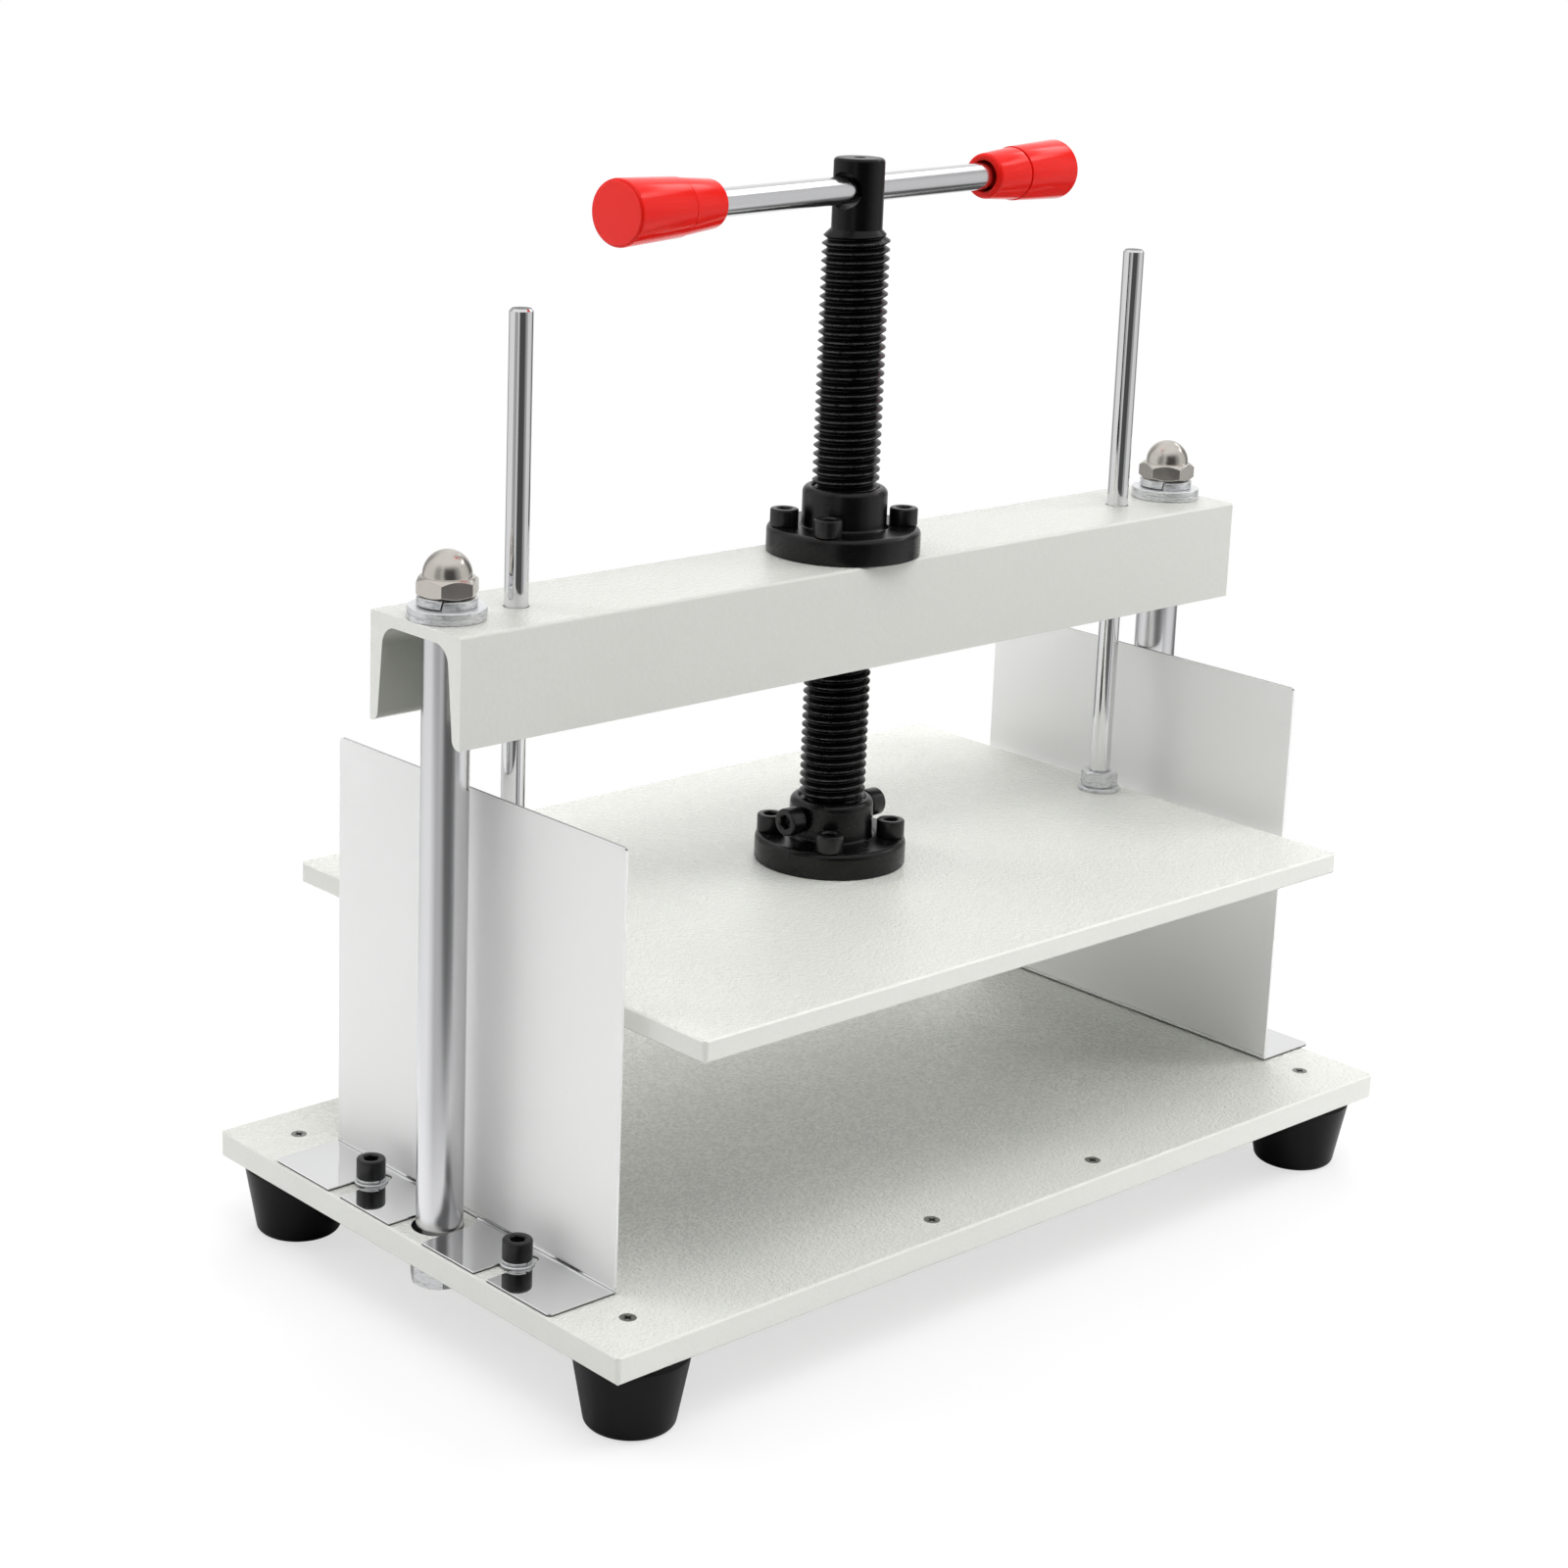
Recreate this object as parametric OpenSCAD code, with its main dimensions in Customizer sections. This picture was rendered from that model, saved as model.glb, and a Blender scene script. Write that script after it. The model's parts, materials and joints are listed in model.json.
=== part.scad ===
// Screw press for paper and book blocks: a bed on four feet, a channel beam on two columns,
// and a screw that drives a platen between two polished side guides.
// Origin: on the surface under the feet, below the centre of the bed. X runs along the beam,
// the front is -Y and Z is up. The platen, the handle and the guides are drawn at rest.

/* [Bed] */
// Length of the bed plate, left to right
bed_length = 400; // [330:1:440]
// Depth of the bed plate, front to back
bed_depth = 232; // [200:1:260]
// Thickness of the bed plate
bed_thick = 10; // [8:0.5:14]
// Rounding of the plates' corners, seen from above
plate_corner_r = 2; // [1:0.5:4]
// Bevel along the plates' edges
plate_bevel = 0.7; // [0.3:0.1:1]
// Distance of the two front screws from the middle of the bed
front_screw_x = 43.1; // [30:0.1:120]
// Distance of the two front screws from the front edge
front_screw_edge = 12.2; // [8:0.1:20]

/* [Feet] */
// Height of a rubber foot
foot_height = 27.5; // [22:0.5:40]
// Radius of a foot at its top
foot_top_r = 20.3; // [18:0.1:21]
// Radius of a foot near the ground, before its rounding
foot_low_r = 15.5; // [14:0.1:18]
// Rounding of a foot's lower edge
foot_round = 3; // [1:0.5:4]
// Rubber between the bed and the foot's nut
foot_web = 9; // [6:0.5:14]
// Radius of the hollow under a foot
foot_hollow_r = 7; // [6:0.5:9]
// Distance of a foot's centre from the bed's left or right edge
foot_inset_x = 21.5; // [21:0.5:40]
// Distance of a foot's centre from the bed's front or back edge
foot_inset_y = 20.5; // [20:0.5:40]

/* [Columns] */
// Radius of a column
column_r = 8.4; // [7:0.1:9]
// Distance of a column's axis from the bed's left or right edge
column_edge = 15.5; // [14:0.5:18]
// Height from the bed's top to the underside of the beam's web
column_clear = 215.6; // [200:0.2:260]
// Radius of the studs at a column's ends
stud_r = 6; // [5:0.5:6.5]
// Depth of the seat in the bed that a column stands in
seat_depth = 2; // [1:0.5:4]
// Radius of that seat
seat_r = 9.3; // [9.1:0.1:10]
// How far the seat's centre lies outside the column's axis
seat_shift = 0.8; // [0.5:0.1:0.8]

/* [Beam] */
// Width of the channel beam, front to back
beam_width = 50; // [48:0.5:60]
// Height of the channel beam
beam_height = 38.8; // [30:0.2:50]
// Thickness of the beam's web
web_thick = 4.5; // [3.5:0.1:6]
// Thickness of a flange where it leaves the web
flange_root = 6.5; // [5:0.1:8]
// Thickness of a flange at its free edge
flange_tip = 4.2; // [3:0.1:5]
// How far the beam runs past a column's axis
beam_overhang = 13.4; // [12:0.1:20]

/* [Platen] */
// How far the bed runs past the platen on the left and on the right
platen_inset_x = 35; // [35:0.5:45]
// How far the bed runs past the platen at the front and at the back
platen_inset_y = 2; // [-4:0.5:16]
// Thickness of the platen
platen_thick = 8; // [6:0.5:10]
// Height of the platen's underside over the bed at rest
platen_rest = 92; // [80:1:100]

/* [Guide rods] */
// Radius of a guide rod
rod_r = 4.2; // [3.5:0.1:5]
// Radius of a rod's threaded end in the platen
rod_thread_r = 4; // [3:0.1:4.2]
// Distance of a rod from the platen's left or right edge
rod_edge = 10; // [9.5:0.5:16]
// Length of a rod above the platen
rod_length = 222.8; // [215:0.1:260]

/* [Press screw] */
// Pitch of the press screw
screw_pitch = 3.25; // [2.5:0.05:4]
// Radius over the thread's crests
screw_crest_r = 12.1; // [11.5:0.1:12.5]
// Radius at the thread's roots
screw_root_r = 10.3; // [9.8:0.1:11]
// Number of turns of thread
screw_turns = 67; // [61:1:69]
// Radius of the plain journal below the thread
journal_r = 9.5; // [9:0.1:9.7]
// Radius of the boss that the handle goes through
boss_r = 9.4; // [8.5:0.1:10]
// Height of the boss above the thread
boss_height = 24.4; // [20:0.2:32]
// Radius of the cross hole in the boss
cross_hole_r = 6.5; // [5.5:0.1:7]
// Distance from the boss's top to the middle of the cross hole
cross_hole_drop = 10; // [10:0.1:13]

/* [Screw flanges] */
// Radius of the flange of the screw's nut and of the platen's cup
flange_r = 28.8; // [28.4:0.1:32]
// Thickness of that flange
flange_thick = 10; // [8:0.5:12]
// Radius of the hub on that flange
hub_r = 15.9; // [15:0.1:16.4]
// Height of the hub's top above the flange's underside
hub_height = 25; // [22:0.5:30]
// Length of the nut's spigot below the beam's web
spigot_drop = 5; // [2:0.5:8]
// Radius of that spigot
spigot_r = 15; // [14:0.5:15]
// Radius of the circle that the flange bolts lie on
bolt_circle_r = 22.8; // [22:0.1:23.4]
// Angle of the nut's bolts from the beam's direction
nut_bolt_angle = 31; // [28:1:50]
// Angle of the cup's bolts from the beam's direction
cup_bolt_angle = 45; // [40:1:50]

/* [Handle] */
// Radius of the handle bar
bar_r = 5.1; // [4.5:0.1:5.3]
// Length of the handle over its grips
handle_length = 262.3; // [220:0.1:300]
// How far the bar is slid to the left at rest
bar_slide = 2.5; // [0:0.5:10]
// Angle of the bar from the beam's direction
bar_angle = 8.8; // [0:0.1:45]
// Length of a grip
grip_length = 49.4; // [40:0.1:60]
// Radius of a grip's outer part
grip_r = 11.6; // [10.5:0.1:13]
// Radius of a grip at its step
grip_waist_r = 10.4; // [10.3:0.1:11]
// Radius of a grip's inner end
grip_neck_r = 8.9; // [8.4:0.1:10]

/* [Side guides] */
// Depth of a side guide, front to back
guide_depth = 160; // [130:1:180]
// Height of a side guide above the bed
guide_height = 157.5; // [120:0.5:170]
// Thickness of a guide's sheet
guide_sheet = 1; // [0.8:0.1:1.1]
// Width of a guide's foot from the upright's outer face
guide_foot = 28.1; // [26:0.1:30]
// Distance from the left guide's outer face to the column's axis
left_guide_reach = 13.1; // [11.5:0.1:13.5]
// Distance from the right guide's outer face to the column's axis
right_guide_reach = 8.7; // [8.7:0.1:10]
// Distance of a guide's screws in front of and behind the column
guide_screw_y = 42.6; // [30:0.1:50]
// How far a guide's screws lie inside the column's axis
guide_screw_in = 1.1; // [0.5:0.1:1.5]

/* [Fasteners] */
// Shank radius of the M6 cap screws
cap_shank_r = 3; // [2.5:0.1:3]
// Head radius of the cap screws
cap_head_r = 5.1; // [4.5:0.1:5.2]
// Head height of the cap screws
cap_head_h = 6; // [5:0.2:7]
// Head radius of the countersunk screws
sunk_head_r = 3; // [2.6:0.1:3.4]
// Shank radius of the countersunk screws
sunk_shank_r = 1.5; // [1.2:0.1:1.8]
// Width over the flats of the column nuts
column_nut_flats = 19; // [18:0.5:21]
// Height of the nuts below the bed
column_nut_h = 10.8; // [8:0.2:12]
// Width over the flats of the rod nuts
rod_nut_flats = 13.4; // [12:0.1:14]
// Height of the rod nuts
rod_nut_h = 6.5; // [5:0.1:8]

/* [Hidden] */
// Clearance of a running fit, on the radius
run_gap = 0.05;
// Clearance between a screw or stud and its hole within one assembly
fit_gap = 0.02;
// Clearance of a hole that a part passes freely, on the radius
pass_gap = 0.3;
// Overrun of a cut past the face it opens
cut_over = 1;
// Colours of the finishes
coat_paint = [0.88, 0.88, 0.85];
black_oxide = [0.09, 0.09, 0.1];
black_rubber = [0.07, 0.07, 0.08];
bright_steel = [0.75, 0.76, 0.79];
chrome_steel = [0.82, 0.83, 0.86];
zinc_steel = [0.78, 0.79, 0.8];
nickel_plate = [0.8, 0.77, 0.72];
red_plastic = [0.85, 0.07, 0.06];
thrust_bronze = [0.72, 0.55, 0.3];

// Smoothness of round parts and of short arcs in outlines
$fn = 72;
arc_steps = 6;
thread_steps = 16;

// Heights of the main levels
bed_under = foot_height;
bed_top = foot_height + bed_thick;
web_under = bed_top + column_clear;
beam_top = web_under + web_thick;
platen_under = bed_top + platen_rest;
platen_top = platen_under + platen_thick;
cup_top = platen_top + hub_height;

// Places across the bed
foot_x = bed_length / 2 - foot_inset_x;
foot_y = bed_depth / 2 - foot_inset_y;
column_x = bed_length / 2 - column_edge;
platen_length = bed_length - 2 * platen_inset_x;
platen_depth = bed_depth - 2 * platen_inset_y;
beam_length = 2 * (column_x + beam_overhang);
rod_x = platen_length / 2 - rod_edge;
guide_screw_x = column_x - guide_screw_in;

// Foot details
foot_chamfer = 1;
foot_hole_r = sunk_shank_r + pass_gap;
foot_washer_r = foot_hollow_r - pass_gap;
foot_washer_h = 1;
foot_nut_flats = 2 * sunk_head_r;
foot_nut_h = 2.5;
foot_screw_tail = 0.8;
foot_nut_seat = foot_height - foot_web;
foot_screw_length = bed_thick + foot_web + foot_washer_h + foot_nut_h + foot_screw_tail;
front_screw_length = bed_thick - plate_bevel;
// Half length, width and depth of the cross recess, as shares of the head's radius
sunk_recess_shares = [0.55, 0.28, 0.45];
sunk_recess_arm = sunk_recess_shares[0] * sunk_head_r;
sunk_recess_w = sunk_recess_shares[1] * sunk_head_r;
sunk_recess_depth = sunk_recess_shares[2] * sunk_head_r;

// Column details
column_base = bed_top - seat_depth;
column_chamfer = 0.6;
stud_hole_r = stud_r + pass_gap;
stud_tail = 1.6;
stud_chamfer = 0.8;
washer_r = 13.6;
washer_h = 2.1;
washer_edge = 0.25;
spring_washer_r = 10.4;
spring_washer_h = 3.6;
acorn_hex_h = 6;
acorn_dome_r = 8.7;
acorn_dome_lift = 0.3;
spring_base = beam_top + 2 * washer_h + fit_gap;
acorn_base = spring_base + spring_washer_h;
upper_stud_top = acorn_base + acorn_hex_h + acorn_dome_lift;
// Radius of a nut's end faces as a share of the radius over its corners
nut_chamfer_share = 0.92;
// Width of a spring washer's split as a share of its height, and the split's slant
washer_split_share = 1 / 3;
washer_split_angle = 40;

// Beam details
beam_root_r = 7;
beam_tip_r = 3.5;
beam_edge_r = 1.2;
beam_half = beam_width / 2;
rod_hole_r = rod_r + pass_gap;

// Rod details
rod_washer_r = 8.7;
rod_washer_h = 1.6;
rod_nut_base = platen_top + rod_washer_h;
rod_shoulder = rod_nut_base + rod_nut_h + pass_gap;
rod_top = platen_top + rod_length;
rod_chamfer = 0.8;
rod_end_gap = 0.5;

// Cap screw details
cap_socket_flats = 5;
cap_socket_depth = 3.2;
cap_edge = 0.5;
nut_bolt_length = flange_thick + web_thick;
cup_bolt_length = flange_thick + platen_thick - 2 * plate_bevel;

// Flange details
flange_edge_r = 2;
hub_edge_r = 2.6;
hub_foot_r = 1;
bore_chamfer = 0.8;

// Screw details, from the cup upwards
thrust_h = 2.5;
journal_base = platen_top + thrust_h + 2 * run_gap;
thread_sink = 1.1;
// Height of the crests over the +X side of the thread's foot, as a share of the pitch
thread_start_share = 0.46;
thread_base = cup_top - thread_sink;
thread_top = thread_base + screw_turns * screw_pitch;
collar_base = thread_top - screw_pitch;
collar_r = screw_crest_r + run_gap;
collar_rise = 0.4;
step_rise = collar_r - boss_r;
boss_top = collar_base + collar_rise + step_rise + boss_height;
boss_chamfer = 1.4;
centre_dimple_r = 2;
groove_height_share = 0.732;
groove_z = platen_top + groove_height_share * hub_height;
groove_half = 2.7;
groove_r = 7;
retainer_tip_r = groove_half - pass_gap;
retainer_tip_end = groove_r + pass_gap;
retainer_neck = 2;
retainer_head_base = hub_r + retainer_neck;
cup_mouth_r = screw_crest_r + pass_gap;
cup_mouth_depth = thread_sink + pass_gap;

// Handle details
bar_z = boss_top - cross_hole_drop - (cross_hole_r - bar_r - run_gap);
grip_wall = 4;
grip_body_share = 0.607;
grip_mouth_gap = 0.9;
grip_mouth_r = bar_r + grip_mouth_gap;
grip_mouth_share = 0.2;
grip_mouth_depth = grip_mouth_share * grip_length;
grip_edge = 0.9;
grip_step = 0.25;
bar_half = handle_length / 2 - grip_wall;
bar_chamfer = 0.6;

// Guide details
guide_bend_r = 0.4;
guide_corner_r = 2;
guide_slot_r = cap_shank_r + 2 * pass_gap;
guide_slot_in = 2 * pass_gap;
column_cut_r = column_r + 4 * pass_gap;
guide_washer_r = 6.2;
guide_washer_h = 0.8;
guide_spring_r = 5.4;
guide_spring_h = 1.2;
guide_screw_seat = bed_top + guide_sheet + guide_washer_h + guide_spring_h;
guide_screw_length = guide_screw_seat - bed_under - plate_bevel;

// Points of an arc about c, from angle a to angle b
function arc(c, r, a, b) =
    [for (i = [0:arc_steps]) let (t = a + (b - a) * i / arc_steps)
        [c[0] + r * cos(t), c[1] + r * sin(t)]];

// Outline of a rectangle with round corners, centred
module round_rect(l, d, r) {
    square([l - 2 * r, d], center = true);
    square([l, d - 2 * r], center = true);
    for (x = [-1, 1], y = [-1, 1])
        translate([x * (l / 2 - r), y * (d / 2 - r)])
            circle(r);
}

// Long bevel cutters along both sides of a plate, at height z
module edge_cutters(l, d, z) {
    reach = plate_bevel * sqrt(2);
    for (s = [-1, 1]) {
        translate([0, s * d / 2, z])
            rotate([45, 0, 0])
                cube([l + 2 * cut_over, reach, reach], center = true);
        translate([s * l / 2, 0, z])
            rotate([0, 45, 0])
                cube([reach, d + 2 * cut_over, reach], center = true);
    }
}

// Flat plate with round corners and bevelled edges, its underside at z
module bevelled_plate(l, d, t, z) {
    difference() {
        translate([0, 0, z])
            linear_extrude(t)
                round_rect(l, d, plate_corner_r);
        edge_cutters(l, d, z);
        edge_cutters(l, d, z + t);
    }
}

// Ring of height h standing on z
module ring(outer, inner, h, z) {
    translate([0, 0, z])
        difference() {
            cylinder(h = h, r = outer);
            translate([0, 0, -cut_over])
                cylinder(h = h + 2 * cut_over, r = inner);
        }
}

// Flat washer with softened edges, standing on z
module flat_washer(outer, inner, h, z) {
    translate([0, 0, z])
        rotate_extrude()
            polygon([[inner, 0], [outer - washer_edge, 0], [outer, washer_edge],
                [outer, h - washer_edge], [outer - washer_edge, h], [inner, h]]);
}

// Spring washer, a ring with one slanted split
module spring_washer(outer, inner, h, z) {
    split = washer_split_share * h;
    difference() {
        ring(outer, inner, h, z);
        translate([0, -(outer + inner) / 2, z + h / 2])
            rotate([0, washer_split_angle, 0])
                cube([split, outer, 2 * (h + cut_over)], center = true);
    }
}

// Hexagonal prism whose corners are turned off at both ends, with a bore, standing on z
module hex_nut(flats, h, bore, z) {
    corner = flats / sqrt(3);
    slope = corner * (1 - nut_chamfer_share) / 2;
    translate([0, 0, z])
        difference() {
            intersection() {
                cylinder(h = h, r = corner, $fn = 6);
                rotate_extrude()
                    polygon([[0, 0], [corner * nut_chamfer_share, 0], [corner, slope],
                        [corner, h - slope], [corner * nut_chamfer_share, h], [0, h]]);
            }
            translate([0, 0, -cut_over])
                cylinder(h = h + 2 * cut_over, r = bore);
        }
}

// Socket head cap screw, its head standing on z and its shank running down
module cap_screw(length, z) {
    corner = cap_socket_flats / sqrt(3);
    translate([0, 0, z])
        difference() {
            union() {
                translate([0, 0, -length])
                    cylinder(h = length + cap_edge, r = cap_shank_r - fit_gap);
                rotate_extrude()
                    polygon([[0, 0], [cap_head_r, 0], [cap_head_r, cap_head_h - cap_edge],
                        [cap_head_r - cap_edge, cap_head_h], [0, cap_head_h]]);
            }
            translate([0, 0, cap_head_h - cap_socket_depth])
                cylinder(h = cap_socket_depth + cut_over, r = corner, $fn = 6);
        }
}

// Countersunk screw with a cross recess, its head flush with z
module sunk_screw(length, z) {
    cone = sunk_head_r - sunk_shank_r;
    translate([0, 0, z])
        difference() {
            rotate_extrude()
                polygon([[0, 0], [sunk_head_r - fit_gap, 0], [sunk_shank_r - fit_gap, -cone],
                    [sunk_shank_r - fit_gap, -length], [0, -length]]);
            for (a = [0, 90])
                rotate([0, 0, a])
                    cube([2 * sunk_recess_arm, sunk_recess_w, 2 * sunk_recess_depth],
                        center = true);
        }
}

// Hole for a countersunk screw, opening at z
module sunk_hole(depth, z) {
    cone = sunk_head_r - sunk_shank_r;
    translate([0, 0, z])
        rotate_extrude()
            polygon([[0, cut_over], [sunk_head_r, cut_over], [sunk_head_r, 0],
                [sunk_shank_r, -cone], [sunk_shank_r, -depth], [0, -depth]]);
}

module at_feet() {
    for (x = [-1, 1], y = [-1, 1])
        translate([x * foot_x, y * foot_y, 0])
            children();
}

module at_front_screws() {
    for (x = [-1, 1])
        translate([x * front_screw_x, front_screw_edge - bed_depth / 2, 0])
            children();
}

module at_columns() {
    for (x = [-1, 1])
        translate([x * column_x, 0, 0])
            children();
}

module at_guide_screws() {
    for (x = [-1, 1], y = [-1, 1])
        translate([x * guide_screw_x, y * guide_screw_y, 0])
            children();
}

module at_rods() {
    for (x = [-1, 1])
        translate([x * rod_x, 0, 0])
            children();
}

// The four corners of a bolt pattern, each at angle a from the beam's direction
module at_bolts(a) {
    for (t = [a, 180 - a, 180 + a, -a])
        translate([bolt_circle_r * cos(t), bolt_circle_r * sin(t), 0])
            children();
}

module base_plate() {
    color(coat_paint)
        difference() {
            bevelled_plate(bed_length, bed_depth, bed_thick, bed_under);
            at_feet()
                sunk_hole(bed_thick + cut_over, bed_top);
            at_front_screws()
                sunk_hole(bed_thick + cut_over, bed_top);
            at_columns()
                translate([0, 0, bed_under - cut_over])
                    cylinder(h = bed_thick + 2 * cut_over, r = stud_hole_r);
            for (x = [-1, 1])
                translate([x * (column_x + seat_shift), 0, column_base])
                    cylinder(h = seat_depth + cut_over, r = seat_r);
            at_guide_screws()
                translate([0, 0, bed_under - cut_over])
                    cylinder(h = bed_thick + 2 * cut_over, r = cap_shank_r);
        }
}

// Tapered rubber foot with a hollow underneath for its nut
module rubber_foot(x, y) {
    round_c = [foot_low_r - foot_round, foot_round];
    color(black_rubber)
        translate([x * foot_x, y * foot_y, 0])
            rotate_extrude()
                polygon(concat([[foot_hollow_r, 0]], arc(round_c, foot_round, -90, -8),
                    [[foot_top_r, foot_height - foot_chamfer],
                    [foot_top_r - foot_chamfer, foot_height], [foot_hole_r, foot_height],
                    [foot_hole_r, foot_nut_seat], [foot_hollow_r, foot_nut_seat]]));
}

module foot_front_left() { rubber_foot(-1, -1); }
module foot_front_right() { rubber_foot(1, -1); }
module foot_back_left() { rubber_foot(-1, 1); }
module foot_back_right() { rubber_foot(1, 1); }

module foot_screws() {
    color(black_oxide)
        at_feet()
            sunk_screw(foot_screw_length, bed_top);
}

module foot_washers() {
    color(zinc_steel)
        at_feet()
            flat_washer(foot_washer_r, sunk_shank_r, foot_washer_h, foot_nut_seat - foot_washer_h);
}

module foot_nuts() {
    color(zinc_steel)
        at_feet()
            hex_nut(foot_nut_flats, foot_nut_h, sunk_shank_r,
                foot_nut_seat - foot_washer_h - foot_nut_h);
}

module front_screws() {
    color(black_oxide)
        at_front_screws()
            sunk_screw(front_screw_length, bed_top);
}

// Column with a stud at each end, its lower stud through the bed
module column() {
    low_end = bed_under - column_nut_h - stud_tail;
    translate([0, 0, low_end])
        rotate_extrude()
            polygon([[0, 0], [stud_r - stud_chamfer - fit_gap, 0],
                [stud_r - fit_gap, stud_chamfer],
                [stud_r - fit_gap, column_base - low_end],
                [column_r - column_chamfer, column_base - low_end],
                [column_r, column_base + column_chamfer - low_end],
                [column_r, web_under - column_chamfer - low_end],
                [column_r - column_chamfer, web_under - low_end],
                [stud_r - fit_gap, web_under - low_end],
                [stud_r - fit_gap, upper_stud_top - stud_chamfer - low_end],
                [stud_r - stud_chamfer - fit_gap, upper_stud_top - low_end],
                [0, upper_stud_top - low_end]]);
}

module column_left() {
    color(bright_steel)
        translate([-column_x, 0, 0])
            column();
}

module column_right() {
    color(bright_steel)
        translate([column_x, 0, 0])
            column();
}

module column_nuts() {
    color(zinc_steel)
        at_columns()
            hex_nut(column_nut_flats, column_nut_h, stud_r, bed_under - column_nut_h);
}

// Outline of the channel, open downwards: y across the beam and z above its lower edge
module channel_outline() {
    tip_y = beam_half - flange_tip;
    root_y = beam_half - flange_root;
    cavity_top = beam_height - web_thick;
    edge_c = [beam_half - beam_edge_r, beam_height - beam_edge_r];
    tip_c = [tip_y + beam_tip_r, beam_tip_r];
    root_c = [root_y - beam_root_r, cavity_top - beam_root_r];
    right = concat(arc(edge_c, beam_edge_r, 90, 0), [[beam_half, 0]],
        [for (p = arc(tip_c, beam_tip_r, 270, 180)) [min(p[0], beam_half), p[1]]],
        arc(root_c, beam_root_r, 0, 90));
    left = [for (i = [len(right) - 1:-1:0]) [-right[i][0], right[i][1]]];
    polygon(concat(right, left));
}

module top_beam() {
    color(coat_paint)
        difference() {
            translate([-beam_length / 2, 0, beam_top - beam_height])
                rotate([90, 0, 90])
                    linear_extrude(beam_length)
                        channel_outline();
            at_columns()
                translate([0, 0, web_under - cut_over])
                    cylinder(h = web_thick + 2 * cut_over, r = stud_hole_r);
            at_rods()
                translate([0, 0, web_under - cut_over])
                    cylinder(h = web_thick + 2 * cut_over, r = rod_hole_r);
            translate([0, 0, web_under - cut_over])
                cylinder(h = web_thick + 2 * cut_over, r = spigot_r + fit_gap);
            at_bolts(nut_bolt_angle)
                translate([0, 0, web_under - cut_over])
                    cylinder(h = web_thick + 2 * cut_over, r = cap_shank_r);
        }
}

module beam_washers() {
    color(zinc_steel)
        at_columns()
            for (i = [0, 1])
                flat_washer(washer_r, stud_r, washer_h, beam_top + i * (washer_h + fit_gap));
}

module beam_spring_washers() {
    color(zinc_steel)
        at_columns()
            spring_washer(spring_washer_r, stud_r, spring_washer_h, spring_base);
}

// Domed nut that covers the end of a column's stud
module acorn_nut() {
    corner = column_nut_flats / sqrt(3);
    dome_base = acorn_hex_h + acorn_dome_lift;
    dome_c = [0, dome_base];
    bore_tip = stud_r / 2;
    difference() {
        union() {
            hex_nut(column_nut_flats, acorn_hex_h, stud_r - fit_gap, 0);
            rotate_extrude()
                polygon(concat([[0, acorn_hex_h / 2], [acorn_dome_r, acorn_hex_h / 2]],
                    arc(dome_c, acorn_dome_r, 0, 45), arc(dome_c, acorn_dome_r, 53, 90)));
        }
        translate([0, 0, -cut_over])
            cylinder(h = dome_base + bore_tip + cut_over, r = stud_r);
    }
}

module acorn_nuts() {
    color(nickel_plate)
        at_columns()
            translate([0, 0, acorn_base])
                acorn_nut();
}

// Outline of a flange with its hub, from radius r0 to the rim
function flange_outline(r0) = concat(
    [[r0, 0], [flange_r, 0]],
    arc([flange_r - flange_edge_r, flange_thick - flange_edge_r], flange_edge_r, 0, 90),
    arc([hub_r + hub_foot_r, flange_thick + hub_foot_r], hub_foot_r, 270, 180),
    arc([hub_r - hub_edge_r, hub_height - hub_edge_r], hub_edge_r, 0, 90));

// Nut of the press screw: a flange on the beam with a spigot through its web
module screw_nut() {
    bore = screw_crest_r + run_gap;
    color(black_oxide)
        translate([0, 0, beam_top])
            difference() {
                union() {
                    rotate_extrude()
                        polygon(concat(flange_outline(bore), [[bore + bore_chamfer, hub_height],
                            [bore, hub_height - bore_chamfer]]));
                    ring(spigot_r, bore, web_thick + spigot_drop + bore_chamfer,
                        -web_thick - spigot_drop);
                }
                at_bolts(nut_bolt_angle)
                    translate([0, 0, -cut_over])
                        cylinder(h = flange_thick + 2 * cut_over, r = cap_shank_r);
            }
}

module screw_nut_bolts() {
    color(black_oxide)
        at_bolts(nut_bolt_angle)
            cap_screw(nut_bolt_length, beam_top + flange_thick);
}

// Cup on the platen that holds the screw's end and lets it turn
module thrust_cup() {
    bore = journal_r + run_gap;
    color(black_oxide)
        difference() {
            translate([0, 0, platen_top])
                rotate_extrude()
                    polygon(concat(flange_outline(bore),
                        [[cup_mouth_r, hub_height],
                        [cup_mouth_r, hub_height - cup_mouth_depth],
                        [bore, hub_height - cup_mouth_depth]]));
            at_bolts(cup_bolt_angle)
                translate([0, 0, platen_top - cut_over])
                    cylinder(h = flange_thick + 2 * cut_over, r = cap_shank_r);
            translate([-hub_r - cut_over, 0, groove_z])
                rotate([0, 90, 0])
                    cylinder(h = 2 * (hub_r + cut_over), r = cap_shank_r);
        }
}

module thrust_cup_bolts() {
    color(black_oxide)
        at_bolts(cup_bolt_angle)
            cap_screw(cup_bolt_length, platen_top + flange_thick);
}

// Screw whose dog point runs in the journal's groove; it lies along X
module retaining_screw() {
    shank = retainer_head_base - journal_r - run_gap;
    translate([retainer_head_base, 0, groove_z])
        rotate([0, 90, 0]) {
            cap_screw(shank, 0);
            translate([0, 0, retainer_tip_end - retainer_head_base])
                cylinder(h = retainer_head_base - retainer_tip_end - cut_over,
                    r = retainer_tip_r);
        }
}

module retaining_screws() {
    color(black_oxide)
        for (a = [0, 180])
            rotate([0, 0, a])
                retaining_screw();
}

module thrust_washer() {
    color(thrust_bronze)
        flat_washer(journal_r, 2 * washer_edge, thrust_h, platen_top);
}

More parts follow.
